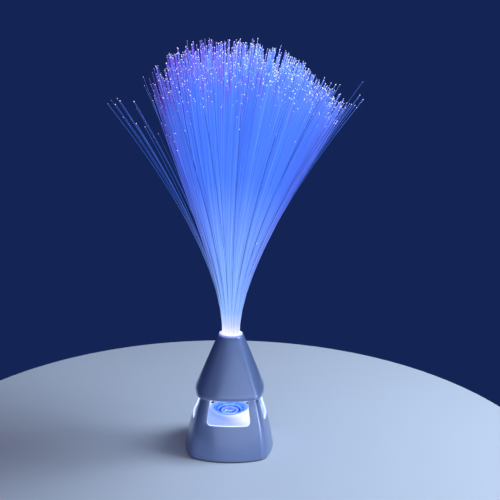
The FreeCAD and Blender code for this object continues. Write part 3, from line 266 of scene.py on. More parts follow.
def soft_profile(corners, reach, steps=4):
    """Round the inner corners of a profile, each with a parabola that starts and ends a reach away from it."""
    corners = np.asarray(corners, float)
    rows = [corners[:1]]
    mix = np.linspace(0, 1, steps + 1)[:, None]
    for before, corner, after in zip(corners, corners[1:], corners[2:]):
        into = before - corner
        out = after - corner
        cut = min(reach, 0.45 * np.linalg.norm(into), 0.45 * np.linalg.norm(out))
        start = corner + into / np.linalg.norm(into) * cut
        end = corner + out / np.linalg.norm(out) * cut
        rows.append((1 - mix) ** 2 * start + 2 * mix * (1 - mix) * corner + mix ** 2 * end)
    rows.append(corners[-1:])
    return np.concatenate(rows)


def softened(height, start, reach):
    """Give a ramp that starts at a height, with a parabola over a reach on both sides of the start."""
    low = np.clip(height - start + reach, 0, 2 * reach)
    return np.where(height > start + reach, height - start, low ** 2 / (4 * reach))


def opening_loop(sizes, offset):
    """Give the closed outline of an opening with slanted sides and round corners, widened by an offset.

    Its rows are (across, height). They start at the middle of the lower left corner and run along the sill,
    up, back and down. Widening leaves the corners' centres where they are and makes their radius larger.
    """
    low_half, high_half, low, high, radius = sizes
    slant = math.atan2(low_half - high_half, high - low)
    low_x = low_half - radius * (1 + math.sin(slant)) / math.cos(slant)
    high_x = high_half - radius * (1 - math.sin(slant)) / math.cos(slant)
    quarter = math.pi / 2
    corners = [((-low_x, low + radius), math.pi - slant, 3 * quarter),
               ((low_x, low + radius), -quarter, slant),
               ((high_x, high - radius), slant, quarter),
               ((-high_x, high - radius), quarter, math.pi - slant)]

    def on_arc(centre, start, end, steps):
        """Give points along a corner's arc, all but the last."""
        angle = np.linspace(start, end, steps + 1)[:-1]
        return np.array(centre) + (radius + offset) * np.stack([np.cos(angle), np.sin(angle)], axis=1)

    rows = []
    for index, (centre, start, end) in enumerate(corners):
        after, after_start, after_end = corners[(index + 1) % 4]
        rows.append(on_arc(centre, (start + end) / 2, end, ARC_STEPS))
        first, last = on_arc(centre, end, end, 1)[0], on_arc(after, after_start, after_start, 1)[0]
        steps = UPRIGHT_STEPS if index % 2 else LEVEL_STEPS
        rows.append(np.linspace(first, last, steps + 1)[:-1])
        rows.append(on_arc(after, after_start, (after_start + after_end) / 2, ARC_STEPS))
    return np.concatenate(rows)


def spread_steps(low, first, second, high, middle):
    """Divide a stretch in three: the arc's steps up to first, a number up to second, the arc's to the end."""
    return np.concatenate([np.linspace(low, first, ARC_STEPS + 1)[:-1],
                           np.linspace(first, second, middle + 1)[:-1],
                           np.linspace(second, high, ARC_STEPS + 1)])


def make_piece(name, sheets, material, body, nodes, sharp=35):
    """Make one mesh of grids of points, weld the edges that they share and turn its faces outwards.

    A sheet is (points, wraps, lit): rows of points, whether each row closes on itself, and how strongly the
    lamp's own light is painted on each row.
    """
    points, quads, glow = [], [], []
    for grid, wraps, lit in sheets:
        quads.append(grid_quads(grid, wraps, sum(len(part) for part in points)))
        points.append(grid.reshape(-1, 3))
        glow.append(np.repeat(np.broadcast_to(np.asarray(lit, float), len(grid)), grid.shape[1]))
    mesh = bpy.data.meshes.new(name)
    fill_mesh(mesh, np.concatenate(points), np.concatenate(quads))
    add_values(mesh, "lit", np.concatenate(glow))
    work = bmesh.new()
    work.from_mesh(mesh)
    bmesh.ops.remove_doubles(work, verts=work.verts, dist=1e-6)
    bmesh.ops.recalc_face_normals(work, faces=work.faces)
    work.to_mesh(mesh)
    work.free()
    mesh.shade_smooth()
    mesh.set_sharp_from_angle(angle=math.radians(sharp))
    place_piece(name, mesh, material, body, nodes)


def grid_quads(grid, wraps, start=0):
    """Give the quads of a grid of points that are numbered from start. A grid that wraps closes its rows."""
    index = np.arange(grid[..., 0].size).reshape(grid.shape[:2]) + start
    if wraps:
        index = np.concatenate([index, index[:, :1]], axis=1)
    low, high = index[:-1], index[1:]
    return np.stack([low[:, :-1], low[:, 1:], high[:, 1:], high[:, :-1]], axis=-1).reshape(-1, 4)


def fill_mesh(mesh, points, faces):
    """Put arrays of points and of like-sided faces into a mesh."""
    sides = faces.shape[1]
    mesh.vertices.add(len(points))
    mesh.vertices.foreach_set("co", np.asarray(points, np.float32).ravel())
    mesh.loops.add(faces.size)
    mesh.loops.foreach_set("vertex_index", np.asarray(faces, np.int32).ravel())
    mesh.polygons.add(len(faces))
    mesh.polygons.foreach_set("loop_start", np.arange(0, faces.size, sides, dtype=np.int32))
    mesh.update(calc_edges=True)


def add_values(mesh, name, values):
    """Store one number per vertex under a name that a material can read."""
    attribute = mesh.attributes.new(name, "FLOAT", "POINT")
    attribute.data.foreach_set("value", np.asarray(values, np.float32))


def place_piece(name, mesh, material, body, nodes):
    """Show a mesh as a piece that rides on a body, stands for nodes and takes the finish that it is given."""
    piece = bpy.data.objects.new(name, mesh)
    bpy.context.scene.collection.objects.link(piece)
    mesh.materials.append(material)
    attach(piece, body)
    if nodes:
        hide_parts(*nodes)


# ---- shader maths ----

def arithmetic(operation, reflected=False):
    """Make an operator's method that adds a Math node."""
    def method(self, other):
        values = (other, self) if reflected else (self, other)
        return self.recipe.wire("ShaderNodeMath", {"operation": operation}, dict(enumerate(values)))
    return method


class Wire:
    """A shader socket. Arithmetic on it adds Math nodes."""

    def __init__(self, recipe, socket):
        self.recipe = recipe
        self.socket = socket

    __add__, __radd__ = arithmetic("ADD"), arithmetic("ADD", True)
    __sub__, __rsub__ = arithmetic("SUBTRACT"), arithmetic("SUBTRACT", True)
    __mul__, __rmul__ = arithmetic("MULTIPLY"), arithmetic("MULTIPLY", True)
    __pow__ = arithmetic("POWER")

    def step(self, low, high):
        """Rise smoothly from 0 at low to 1 at high."""
        return self.recipe.wire("ShaderNodeMapRange", {"interpolation_type": "SMOOTHSTEP"},
                                {"Value": self, "From Min": low, "From Max": high}, "Result")

    def ramp(self, stops):
        """Give the colour that a ramp has at this value."""
        return self.recipe.wire("ShaderNodeValToRGB", {"stops": stops}, {0: self}, "Color")


class Recipe:
    """The node tree of one material, with a principled shader at its end."""

    def __init__(self, name, **constants):
        self.material = bpy.data.materials.new(name)
        self.material.use_nodes = True
        self.tree = self.material.node_tree
        self.tree.nodes.clear()
        self.shader = self.node("ShaderNodeBsdfPrincipled", {}, {})
        output = self.node("ShaderNodeOutputMaterial", {}, {})
        self.tree.links.new(self.shader.outputs[0], output.inputs["Surface"])
        for key, value in constants.items():
            self.feed(key.replace("_", " "), value)

    def node(self, kind, settings, inputs):
        """Add a node: first its settings, then the values or links of its sockets."""
        node = self.tree.nodes.new(kind)
        for key, value in settings.items():
            if key == "stops":
                self.set_stops(node.color_ramp, value)
            else:
                setattr(node, key, value)
        for key, value in inputs.items():
            self.join(node.inputs[key], value)
        return node

    def wire(self, kind, settings, inputs, output=0):
        """Add a node and give one of its outputs."""
        return Wire(self, self.node(kind, settings, inputs).outputs[output])

    def set_stops(self, ramp, stops):
        """Give a colour ramp its stops, each a place and a colour."""
        while len(ramp.elements) < len(stops):
            ramp.elements.new(1.0)
        for element, (place, shade) in zip(ramp.elements, stops):
            element.position = place
            element.color = (*shade, 1.0)

    def join(self, socket, value):
        """Link a wire to a socket, or set the socket's own value."""
        if isinstance(value, Wire):
            self.tree.links.new(value.socket, socket)
        elif socket.type == "RGBA" and len(value) == 3:
            socket.default_value = (*value, 1.0)
        else:
            socket.default_value = value

    def feed(self, name, value):
        """Set or link a socket of the shader."""
        self.join(self.shader.inputs[name], value)

    def coords(self):
        """Give the place on the object, in metres."""
        return self.wire("ShaderNodeTexCoord", {}, {}, "Object")

    def axes(self):
        """Give the place on the object as three numbers."""
        node = self.node("ShaderNodeSeparateXYZ", {}, {0: self.coords()})
        return [Wire(self, output) for output in node.outputs]

    def distance(self, middle_x=0.0, middle_y=0.0):
        """Give the distance from an upright line."""
        x, y = self.axes()[:2]
        return ((x - middle_x) ** 2 + (y - middle_y) ** 2) ** 0.5

    def value_of(self, name):
        """Give a number that the mesh stores per vertex."""
        return self.wire("ShaderNodeAttribute", {"attribute_name": name}, {}, "Fac")

    def noise(self, size, detail=2.0, squeeze=None):
        """Give cloudy noise from 0 to 1. Its clouds have a size in metres, over the squeeze along each axis."""
        place = self.coords()
        if squeeze:
            place = self.wire("ShaderNodeMapping", {}, {0: place, "Scale": squeeze})
        return self.wire("ShaderNodeTexNoise", {}, {"Vector": place, "Scale": 1 / size, "Detail": detail})

    def mix(self, factor, first, second):
        """Mix two colours."""
        return self.wire("ShaderNodeMix", {"data_type": "RGBA"}, {0: factor, 6: first, 7: second}, 2)

    def brighten(self, shade, factor):
        """Multiply a colour by a number."""
        return self.wire("ShaderNodeVectorMath", {"operation": "SCALE"}, {0: shade, "Scale": factor})

    def glow(self, shade, factor):
        """Let the surface give off light of a colour, multiplied by a number."""
        self.feed("Emission Color", self.brighten(shade, factor))

    def relief(self, height, distance):
        """Raise the surface by a height pattern over a distance in metres."""
        self.feed("Normal", self.wire("ShaderNodeBump", {}, {"Height": height, "Distance": distance,
                                                             "Strength": 1.0}))

    def finished(self, shade, brightness, roughness):
        """Set the colour, multiplied by a brightness, and the roughness, and give the material."""
        self.feed("Base Color", self.brighten(shade, brightness))
        self.feed("Roughness", roughness)
        return self.material


# ---- materials ----

def silver_plastic(finish):
    """Silver-grey moulded plastic with a fine metallic fleck, and painted light where the lamp's inner light
    would reach it.
    """
    recipe = Recipe("casing_silver", Metallic=0.50, Coat_Weight=0.50, Coat_Roughness=0.05,
                    Emission_Strength=1.0)
    fleck = recipe.noise(0.35 * MM, 1.0)
    cloud = recipe.noise(18 * MM)
    fine = recipe.noise(6 * MM)
    stops = [(0.0, (0, 0, 0)), (0.3, (0.20, 0.20, 0.34)), (0.6, (0.20, 0.34, 0.70)),
             (0.8, (0.13, 0.32, 0.90)), (1.0, (0.80, 0.86, 1.0))]
    # Painted light: each row's lit value sets a glow that stands in for the lamp's inner light.
    recipe.feed("Emission Color", recipe.value_of("lit").ramp(stops))
    recipe.relief(fleck, 0.006 * MM)
    return recipe.finished(finish.silver, 0.84 + 0.22 * fleck + 0.10 * cloud,
                           0.24 + 0.08 * fine + 0.08 * fleck)


def tray_plastic(finish):
    """White plastic with painted light: pale blue on the left and in front, white right, and painted shade
    deeper at both sides.
    """
    recipe = Recipe("tray_plastic", Base_Color=(0.40, 0.41, 0.48), Roughness=0.35, Emission_Strength=0.80)
    x, y = recipe.axes()[:2]
    # Painted light: brighter towards the right and the back, where the lamp's inner light falls.
    warm = (x * 0.8 + y * 0.6 + 14.4 * MM).step(-2 * MM, 16 * MM)
    # Painted shade: deeper blue towards the left and right edges.
    edge = ((x * x) ** 0.5).step(21 * MM, 26 * MM)
    shade = recipe.mix(warm, finish.tray_dim_light, finish.tray_bright_light)
    recipe.glow(recipe.mix(edge * 0.85, shade, finish.tray_edge_shade), 0.88 + 0.2 * recipe.noise(9 * MM))
    recipe.relief(recipe.noise(0.8 * MM), 0.01 * MM)
    return recipe.material


def milky_plastic(finish):
    """Milky plastic with painted light from the bundle: brighter near the fibres."""
    recipe = Recipe("collar_glow", Base_Color=(0.30, 0.31, 0.42), Roughness=0.30, Emission_Strength=0.80)
    near = 1 - recipe.distance().step(9.9 * MM, 10.7 * MM)
    recipe.glow(recipe.mix(near, finish.collar, (0.78, 0.84, 1.0)), 0.88 + 0.2 * recipe.noise(3 * MM))
    return recipe.material


def crystal(finish):
    """Clear ringed crystal with painted light from below: painted rings of deep and pale blue, painted white
    glints and a painted grey-blue bead.
    """
    recipe = Recipe("crystal", Roughness=0.06, IOR=1.5, Transmission_Weight=0.25, Coat_Weight=1.0,
                    Coat_Roughness=0.02, Emission_Strength=0.8)
    wave = recipe.noise(3.2 * MM, 3.0, (1.0, 1.0, 2.2))
    # Painted light: each ring's paleness stands in for light from below and for reflections on the rings'
    # slopes.
    light = recipe.value_of("lit") + 0.75 * (wave - 0.5)
    rings = light.ramp([(0.0, (0.0, 0.010, 0.30)), (0.25, finish.lens_deep), (0.60, (0.085, 0.25, 0.98)),
                        (0.95, finish.lens_pale)])
    bead = 1 - recipe.distance().step(3.4 * MM, 4.6 * MM)
    # Painted highlights: a white glint beside the bead and sparkles where the rings are pale.
    glint = 1 - recipe.distance(-3.4 * MM, -2.9 * MM).step(0.5 * MM, 1.9 * MM)
    sparkle = recipe.noise(2.2 * MM).step(0.60, 0.66) * light
    shade = recipe.mix(bead, rings, finish.bead)
    recipe.feed("Emission Color", recipe.mix(glint * 0.9 + sparkle * 0.5, shade, (0.85, 0.90, 1.0)))
    # The painted ring light also tints the base colour.
    recipe.feed("Base Color", recipe.brighten(rings, 0.6))
    recipe.relief(wave, 0.10 * MM)
    return recipe.material


def lit_fibre(finish):
    """Clear fibre that leaks light: white at the root, blue along the shaft, violet near some of the tips."""
    recipe = Recipe("lit_fibre", Base_Color=(0.02, 0.05, 0.22), Roughness=0.3, Emission_Strength=1.15)
    along = recipe.value_of("along")
    shade = along.ramp([(0.0, finish.root), (0.045, (0.52, 0.60, 0.95)), (0.10, (0.29, 0.49, 0.97)),
                        (0.22, finish.low_shaft), (0.415, (0.175, 0.335, 0.98)), (0.65, finish.shaft),
                        (0.90, finish.shaft), (1.0, (0.10, 0.22, 0.96))])
    edge = recipe.value_of("edge") * along.step(0.12, 0.35)
    violet = recipe.value_of("violet") * along.step(0.90, 0.985)
    shade = recipe.mix(violet, recipe.mix(edge * 0.35, shade, (0.20, 0.13, 0.86)), finish.violet)
    streak = 0.62 + 0.70 * recipe.value_of("tint") ** 1.5
    dim = 1 - 0.62 * recipe.value_of("faint") * along.step(0.02, 0.2)
    recipe.glow(shade, streak * dim)
    return recipe.material


def lit_tip(finish):
    """The rounded end of a fibre, where its light comes out: white, and violet on some."""
    recipe = Recipe("lit_tip", Base_Color=(0.5, 0.5, 0.6), Roughness=0.2, Emission_Strength=1.3)
    tint = recipe.value_of("tint")
    violet = recipe.value_of("violet") * (1 - tint.step(0.35, 0.6))
    recipe.glow(recipe.mix(violet, finish.tip, (0.40, 0.18, 0.95)), 0.35 + 0.75 * tint.step(0.1, 0.7))
    return recipe.material


def moulded_plastic(name, shade, roughness=0.5):
    """Plain moulded plastic with a fine grain."""
    recipe = Recipe(name)
    cloud, fine = recipe.noise(14 * MM), recipe.noise(0.9 * MM, 3.0)
    recipe.relief(fine, 0.03 * MM)
    return recipe.finished(shade, 0.85 + 0.2 * cloud + 0.1 * fine, roughness + 0.15 * fine)


def soft_rubber(name, shade):
    """Rubber with a dull, slightly uneven skin."""
    recipe = Recipe(name, Specular_IOR_Level=0.3)
    cloud = recipe.noise(2 * MM, 4.0)
    recipe.relief(cloud, 0.05 * MM)
    return recipe.finished(shade, 0.8 + 0.5 * cloud, 0.68 + 0.2 * cloud)


def plated_steel(name, shade):
    """Plated steel with fine turning marks."""
    recipe = Recipe(name, Metallic=1.0)
    brush = recipe.noise(0.8 * MM, 3.0, (1.0, 1.0, 6.0))
    recipe.relief(brush, 0.01 * MM)
    return recipe.finished(shade, 0.82 + 0.3 * brush, 0.24 + 0.22 * brush)


def cell_sleeve():
    """Printed sleeve of a cell: dark grey with a warm metallic band at one end, and bare steel on the ends."""
    recipe = Recipe("cell_sleeve", Coat_Weight=0.4, Coat_Roughness=0.15)
    x = recipe.axes()[0]
    bare = ((x * x) ** 0.5).step(24.2 * MM, 24.6 * MM)
    band = x.step(9.9 * MM, 10.1 * MM)
    fine = recipe.noise(1.2 * MM, 3.0)
    shade = recipe.mix(band, (0.035, 0.04, 0.055), (0.50, 0.30, 0.12))
    recipe.feed("Metallic", 0.25 + 0.55 * bare)
    return recipe.finished(recipe.mix(bare, shade, (0.62, 0.62, 0.64)), 0.9 + 0.2 * fine, 0.26 + 0.16 * fine)


def board_mask():
    """White-masked circuit board with faint traces."""
    recipe = Recipe("board_mask", Coat_Weight=0.3)
    weave = recipe.noise(2.4 * MM, 1.0, (4.0, 1.0, 1.0)).step(0.47, 0.53)
    shade = recipe.mix(weave, (0.74, 0.78, 0.76), (0.66, 0.70, 0.69))
    return recipe.finished(shade, 0.95 + 0.1 * recipe.noise(5 * MM), 0.38 + 0.1 * weave)


def led_dome(name, shade):
    """Tinted clear dome of an LED, lit from inside."""
    recipe = Recipe(name, Roughness=0.1, Coat_Weight=1.0, Emission_Strength=1.6)
    fine = recipe.noise(1.5 * MM)
    recipe.feed("Base Color", recipe.brighten(shade, 0.9 + 0.2 * fine))
    recipe.glow(shade, 0.6 + 0.6 * fine)
    return recipe.material


# ---- the two casings ----

CORNER_ANGLE = math.radians(45)
SIDE_ANGLE = math.radians(24)
PHI = spread_steps(-CORNER_ANGLE, -SIDE_ANGLE, SIDE_ANGLE, CORNER_ANGLE, LEVEL_STEPS)
RINGS = 10
REAR = 1
# How far the rows of a rounded edge stand back from one of its two faces, over the edge's radius. Backwards,
# the numbers are for the other face.
EDGE = 1 - np.sin(np.linspace(0, math.pi / 2, 4))
SLOT_EDGE = np.array([1.0, 0.3, 0.0])


def base_sizes(shape, z, depth=0.0):
    """Give the base's half width, bow and corner at a height, a depth inside its outer face.

    The half width follows a straight taper plus a parabola. The corner's radius and the bow's radius over the
    half width change in proportion to the height.
    """
    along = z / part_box("base_shell")[1].z
    half = blend(shape.foot_half, shape.crown_half, along) + 4 * shape.bulge * along * (1 - along)
    bow = half * blend(shape.bow_ratio, shape.crown_ratio, along)
    return half - depth, bow - depth, blend(shape.foot_corner, shape.crown_corner, along) - depth


def face_patch(shape, turn, phi, z, depth):
    """Give points of one face of the base."""
    x, y = outline(phi, *base_sizes(shape, z, depth))
    return stack(*turned_quarter(x, y, turn), z)


def on_face(shape, loop, depth):
    """Turn an opening's outline into normal directions and heights on the base's bowed side."""
    across, z = loop.T
    return np.arcsin(across / base_sizes(shape, z, depth)[1]), z


def round_opening(shape, turn, opening, z, depth):
    """Fill a face between an opening and its border with rings that run from one to the other."""
    inner_phi, inner_z = on_face(shape, opening, depth)
    sides = [(PHI[:-1], z[0]), (PHI[-1], z[:-1]), (PHI[:0:-1], z[-1]), (PHI[0], z[:0:-1])]
    outer_phi, outer_z = np.concatenate([np.stack(np.broadcast_arrays(*side)) for side in sides], axis=1)
    mix = np.linspace(0, 1, RINGS + 1)[:, None]
    return face_patch(shape, turn, blend(inner_phi, outer_phi, mix), blend(inner_z, outer_z, mix), depth)


def jamb(shape, turn, sizes, back):
    """Line an opening's edge: round it into the wall, run through and round it out again.

    back says how far the rounding's rows stand back from the way through, from the outer face inwards.
    """
    rows = []
    for offset, depth in zip([*back, *back[::-1]], [*back[::-1], *(shape.wall - back)]):
        phi, z = on_face(shape, opening_loop(sizes, offset), depth)
        rows.append(face_patch(shape, turn, phi, z, depth))
    return np.stack(rows)


def posts(reach_x, reach_y, radius, low, high):
    """Give four closed round posts, one in each quarter."""
    grid = turned_profile(np.array([[0, low], [radius, low], [radius, high], [0, high]]), columns=24)
    return [(grid + np.array([x * reach_x, y * reach_y, 0]), True, 0.0) for x in (-1, 1) for y in (-1, 1)]


def base_sheets(shape):
    """Work out the base casing: four faces round their windows, the rear's slot, foot, crown and posts."""
    low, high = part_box("base_shell")
    tray_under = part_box("reflector_tray")[0].z
    flange = high.z - shape.wall
    edge, slot_edge = shape.edge_round, shape.edge_round / 2
    foot_band = low.z + 1.0 * MM
    split = (tray_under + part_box("switch_body")[1].z) / 2
    window = (shape.sill_half, shape.lintel_half, shape.sill, shape.lintel, shape.window_round)
    knob_low, knob_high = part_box("switch_knob")
    gap, margin = 0.3 * MM, 2 * MM
    slot_half = -knob_low.x + gap
    slot = (slot_half, slot_half, knob_low.z - gap, knob_high.z + gap, 0.35 * MM)
    # Each skin is (depth, bottom, top, lit); lit is painted light, strong on the inner skin.
    skins = ((0.0, foot_band, high.z - edge, 0.0), (shape.wall, low.z, flange, 0.8))
    sheets = []
    for turn in range(4):
        for depth, bottom, top, lit in skins:
            upper = spread_steps(split, shape.sill + margin, shape.lintel - margin, top, UPRIGHT_STEPS)
            sheets.append((round_opening(shape, turn, opening_loop(window, edge), upper, depth), True, lit))
            lower = spread_steps(bottom, slot[2], slot[3], split, UPRIGHT_STEPS)
            if turn == REAR:
                rear = round_opening(shape, turn, opening_loop(slot, slot_edge), lower, depth)
                sheets.append((rear, True, 0.0))
            else:
                sheets.append((face_patch(shape, turn, PHI[None, :], lower[:, None], depth), False, 0.0))
        # Painted light on the window jambs, growing from the outer face inwards.
        lit = np.minimum(np.arange(2 * len(EDGE)) / 2, 1.0)
        sheets.append((jamb(shape, turn, window, edge * EDGE), True, lit))
    sheets.append((jamb(shape, REAR, slot, slot_edge * SLOT_EDGE), True, 0.0))
    sheets += foot_and_crown(shape, low.z, foot_band, high.z, flange)
    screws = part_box("base_screws")[1]
    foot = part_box("base_plate")[0].z + 3 * MM
    return sheets + posts(screws.x - shape.head_radius, screws.y - shape.head_radius, shape.post_radius, foot,
                          tray_under)


def foot_and_crown(shape, low, foot_band, high, flange):
    """Close the base casing below and above.

    The foot's edge is a quarter ellipse, then a flat ring as wide as the wall. The crown is a flat ring from
    the outer face to the light's way, down through it and back under the flange to the inner face.
    """
    turn = np.linspace(0, math.pi / 2, 6)
    z = np.concatenate([foot_band - (foot_band - low) * np.sin(turn), [low]])
    depth = np.concatenate([0.5 * MM * (1 - np.cos(turn)), [shape.wall]])
    foot = all_round(PHI, *base_sizes(shape, z, depth), z)
    back = shape.edge_round * EDGE
    crown_edge = all_round(PHI, *base_sizes(shape, high - back, back[::-1]), high - back)
    over = to_circle(crown_edge[-1], shape.light_way, high, rows=6)
    wall_ring = all_round(PHI, *base_sizes(shape, np.array([flange]), shape.wall), [flange])[0]
    under = to_circle(wall_ring, shape.light_way, flange, rows=6)
    through = np.stack([over[-1], under[-1]])
    # Painted light on the light way and under the flange.
    return [(foot, True, 0.0), (crown_edge, True, 0.0), (over, True, 0.0), (through, True, 0.6),
            (under, True, 0.8)]


def hood_sizes(shape, z, depth=0.0):
    """Give the hood's half width, bow and corner at a height: upright on the skirt, then straight to the top.

    All are taken a depth inside the outer face.
    """
    low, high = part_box("hood_shell")
    start = low.z + shape.skirt
    along = softened(z, start, shape.skirt_bend) / (high.z - start)
    half = blend(shape.rim_half, shape.top_half, along)
    bow = blend(shape.rim_bow, shape.top_bow, along)
    corner = blend(shape.rim_corner, shape.top_corner, along)
    return half - depth, bow - depth, corner - depth


def hood_sheets(shape):
    """Work out the hood: up the outside, over the flat top to the collar's hole, and down the inside."""
    low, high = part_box("hood_shell")
    edge, wall = shape.edge_round, shape.wall
    roof = high.z - wall
    bend_low, bend_high = (low.z + shape.skirt + side * shape.skirt_bend for side in (-1, 1))
    up = np.concatenate([np.linspace(low.z + edge, bend_low, 3)[:-1], np.linspace(bend_low, bend_high, 9)[:-1],
                         np.linspace(bend_high, high.z - edge, 16)])
    back = edge * EDGE
    z = np.concatenate([low.z + back[::-1], up[1:-1], high.z - back])
    depth = np.concatenate([back, np.zeros(len(up) - 2), back[::-1]])
    outside = all_round(PHI, *hood_sizes(shape, z, depth), z)
    hole = collar_radii(shape)[1] + FIT_GAP
    over = to_circle(outside[-1], hole, high.z, rows=5)
    inside_z = np.unique(np.minimum(np.concatenate([[low.z, low.z + edge], up[1:-1], [roof]]), roof))
    depth = np.full(len(inside_z), wall)
    depth[0] = wall - edge
    inside = all_round(PHI, *hood_sizes(shape, inside_z, depth), inside_z)
    under = to_circle(inside[-1], hole, roof, rows=5)
    # Painted light on the lip's lower rows, on the inside and under the rim.
    lip_light = np.where(np.arange(len(z)) < len(EDGE) - 1, 0.25, 0.0)
    sheets = [(outside, True, lip_light), (over, True, 0.0), (np.stack([over[-1], under[-1]]), True, 0.0),
              (under, True, 0.0), (inside, True, 0.3), (np.stack([outside[0], inside[0]]), True, 0.3)]
    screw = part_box("hood_screws")[1].x - shape.head_radius
    base_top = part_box("base_shell")[1].z
    return sheets + posts(screw, screw, shape.post_radius, base_top, base_top + shape.hood_post)


# ---- tray, lens and collar ----

def tray_sheets(shape):
    """Work out the tray: a ledge for the lens, four soft slopes down to the casing, and a flat underside."""
    low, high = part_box("reflector_tray")
    edge_top = high.z - shape.tray_rise
    seat = high.z - shape.tray_rise / 2
    hole = shape.seat_radius - shape.seat_ledge
    half, bow, corner = base_sizes(shape, edge_top, shape.wall + FIT_GAP)
    rim = all_round(PHI, [half], [bow], [corner], [edge_top])[0]
    bottom_rim = at_height(rim, low.z + shape.peg)
    top = to_circle(rim, shape.seat_radius, high.z, rows=22)
    span = np.maximum(np.abs(top[..., 0]), np.abs(top[..., 1]))
    slope = np.clip((shape.slope_outer - span) / (shape.slope_outer - shape.slope_inner), 0, 1)
    top[..., 2] = edge_top + shape.tray_rise * slope * slope * (3 - 2 * slope)
    top[-1, :, 2] = high.z
    bottom = to_circle(bottom_rim, hole, low.z + shape.peg, rows=3)
    ledge = to_circle(at_height(top[-1], seat), hole, seat, rows=3)
    return [(top, True, 1.0), (np.stack([rim, bottom_rim]), True, 1.0), (bottom, True, 0.0),
            (np.stack([top[-1], ledge[0]]), True, 1.0), (ledge, True, 1.0),
            (np.stack([ledge[-1], bottom[-1]]), True, 0.5)]


# How pale the lens's painted light is: on top by its radius in mm, and round its side by the height in mm.
LENS_TOP = ((0.0, 0.85), (4.4, 0.95), (4.9, 0.15), (5.7, 0.15), (6.2, 0.95), (7.9, 0.80), (8.4, 0.10),
            (9.6, 0.05), (10.1, 0.60), (10.9, 0.85), (11.5, 0.20), (12.1, 0.75), (12.8, 0.20), (13.4, 0.85),
            (14.1, 0.30), (14.8, 0.95))
LENS_SIDE = ((1.5, 1.0), (2.2, 0.75), (2.9, 0.15), (3.8, 0.25), (4.4, 0.80))
LENS_COUNT = 170


def lens_rows(shape):
    """Give the lens's profile from the middle of its underside round its rim, down steps and up its bead."""
    low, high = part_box("crystal_lens")
    rim, step = high.x, shape.lens_ring
    foot = shape.seat_radius - 1.4 * MM
    rim_top, middle_top, inner_top, trough = 4.6 * MM, 3.4 * MM, 2.3 * MM, 0.8 * MM
    corners = [(0, 0), (foot, 0), (14.0 * MM, 1.7 * MM), (rim, 4.2 * MM), (rim, rim_top),
               (rim - step, rim_top), (rim - 2 * step, middle_top), (rim - 3 * step, middle_top),
               (rim - 4 * step, inner_top),
               (10.6 * MM, inner_top), (10.0 * MM, trough), (5.7 * MM, trough), (5.0 * MM, 1.4 * MM),
               (2.6 * MM, 2.1 * MM), (0, 2.2 * MM)]
    profile = soft_profile(corners, 0.35 * MM)
    along = np.concatenate([[0], np.cumsum(np.linalg.norm(np.diff(profile, axis=0), axis=1))])
    even = np.linspace(0, along[-1], LENS_COUNT)
    radius, height = (np.interp(even, along, column) for column in profile.T)
    return np.stack([radius, height + low.z], axis=1)


def lens_glow(profile):
    """Give how pale the lens's painted light is along its profile: by radius on its upper side, by height round
    its side.
    """
    radius, height = profile.T
    glow = np.interp(radius / MM, *np.array(LENS_TOP).T)
    outside = np.arange(len(profile)) < np.argmax(radius)
    glow[outside] = np.interp((height[outside] - height[0]) / MM, *np.array(LENS_SIDE).T)
    return glow


def collar_radii(shape):
    """Give the radii of the collar's flange, of its sleeve and of its bore."""
    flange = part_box("bundle_ferrule")[1].x
    sleeve = flange - shape.collar_land
    return flange, sleeve, sleeve - shape.collar_wall


def collar_rows(shape):
    """Give the collar's profile: a sleeve round the bundle with a flange whose outer edge is fully round."""
    low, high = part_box("bundle_ferrule")
    flange, sleeve, bore = collar_radii(shape)
    lip = high.z - shape.collar_lip
    corners = [(bore, low.z), (sleeve, low.z), (sleeve, lip), (flange, lip), (flange, high.z), (bore, high.z),
               (bore, low.z)]
    return soft_profile(corners, 0.62 * MM, steps=6)


# ---- the spray ----

def spray_heights():
    """Give the heights of the fibres' lower ends, of the collar's mouth and of the spray's top."""
    low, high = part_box("fibre_strands")
    return low.z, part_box("bundle_ferrule")[1].z, high.z


def fibre_place(spray, law, rise):
    """Give the place of fibres at a rise above the collar, as x and y.

    A law is (root, bearing, lean, right, outward). A fibre goes outwards along its bearing by
    root + lean * (rise - bend * (1 - exp(-rise / bend))) + outward * rise^2, and to the right by
    right * rise^2.
    """
    root, bearing, lean, right, outward = law
    run = rise - spray.bend * (1 - np.exp(-rise / spray.bend))
    reach = root + lean * run + outward * rise ** 2
    return reach * np.cos(bearing) + right * rise ** 2, reach * np.sin(bearing)


def tip_height(spray, law):
    """Give the height at which fibres end: on a dome that falls with the square of the distance from the axis.

    Each of 30 tries takes the mean of the last height and of the dome's height over the place that it gives.
    """
    mouth, top = spray_heights()[1:]
    tip = np.full(len(law[0]), top)
    for _ in range(30):
        x, y = fibre_place(spray, law, tip - mouth)
        tip = (tip + top - spray.fall * (x ** 2 + y ** 2)) / 2
    return tip


def fibre_paths(spray, law, tip, aside):
    """Give the points of fibres: upright in the collar, then by their law up to their tips.

    Each goes aside from its law with the square of its rise, and by the whole amount at its tip. The points
    stand closer together near the collar.
    """
    foot, mouth = spray_heights()[:2]
    rise = (tip - mouth)[:, None] * np.linspace(0, 1, 11) ** 1.35
    x, y = fibre_place(spray, [value[:, None] for value in law], rise)
    off = aside[:, :, None] * (rise / rise[:, -1:])[:, None] ** 2
    points = stack(x + off[:, 0], y + off[:, 1], mouth + rise)
    return np.concatenate([at_height(points[:, :1], foot), points], axis=1)


def square_axes(ahead):
    """Give directions made one long, and for each two more that stand square to it and to each other."""
    ahead = ahead / np.linalg.norm(ahead, axis=-1, keepdims=True)
    side = np.cross(ahead, np.array([0.0, 1.0, 0.0]))
    side /= np.linalg.norm(side, axis=-1, keepdims=True)
    return ahead, side, np.cross(ahead, side)


def fibres_to_mesh(name, points, faces, values):
    """Make a mesh of points that come fibre by fibre. Each value has one number per fibre."""
    mesh = bpy.data.meshes.new(name)
    fill_mesh(mesh, points.reshape(-1, 3), faces)
    for key, value in values.items():
        add_values(mesh, key, np.repeat(value, points[0].size // 3))
    return mesh


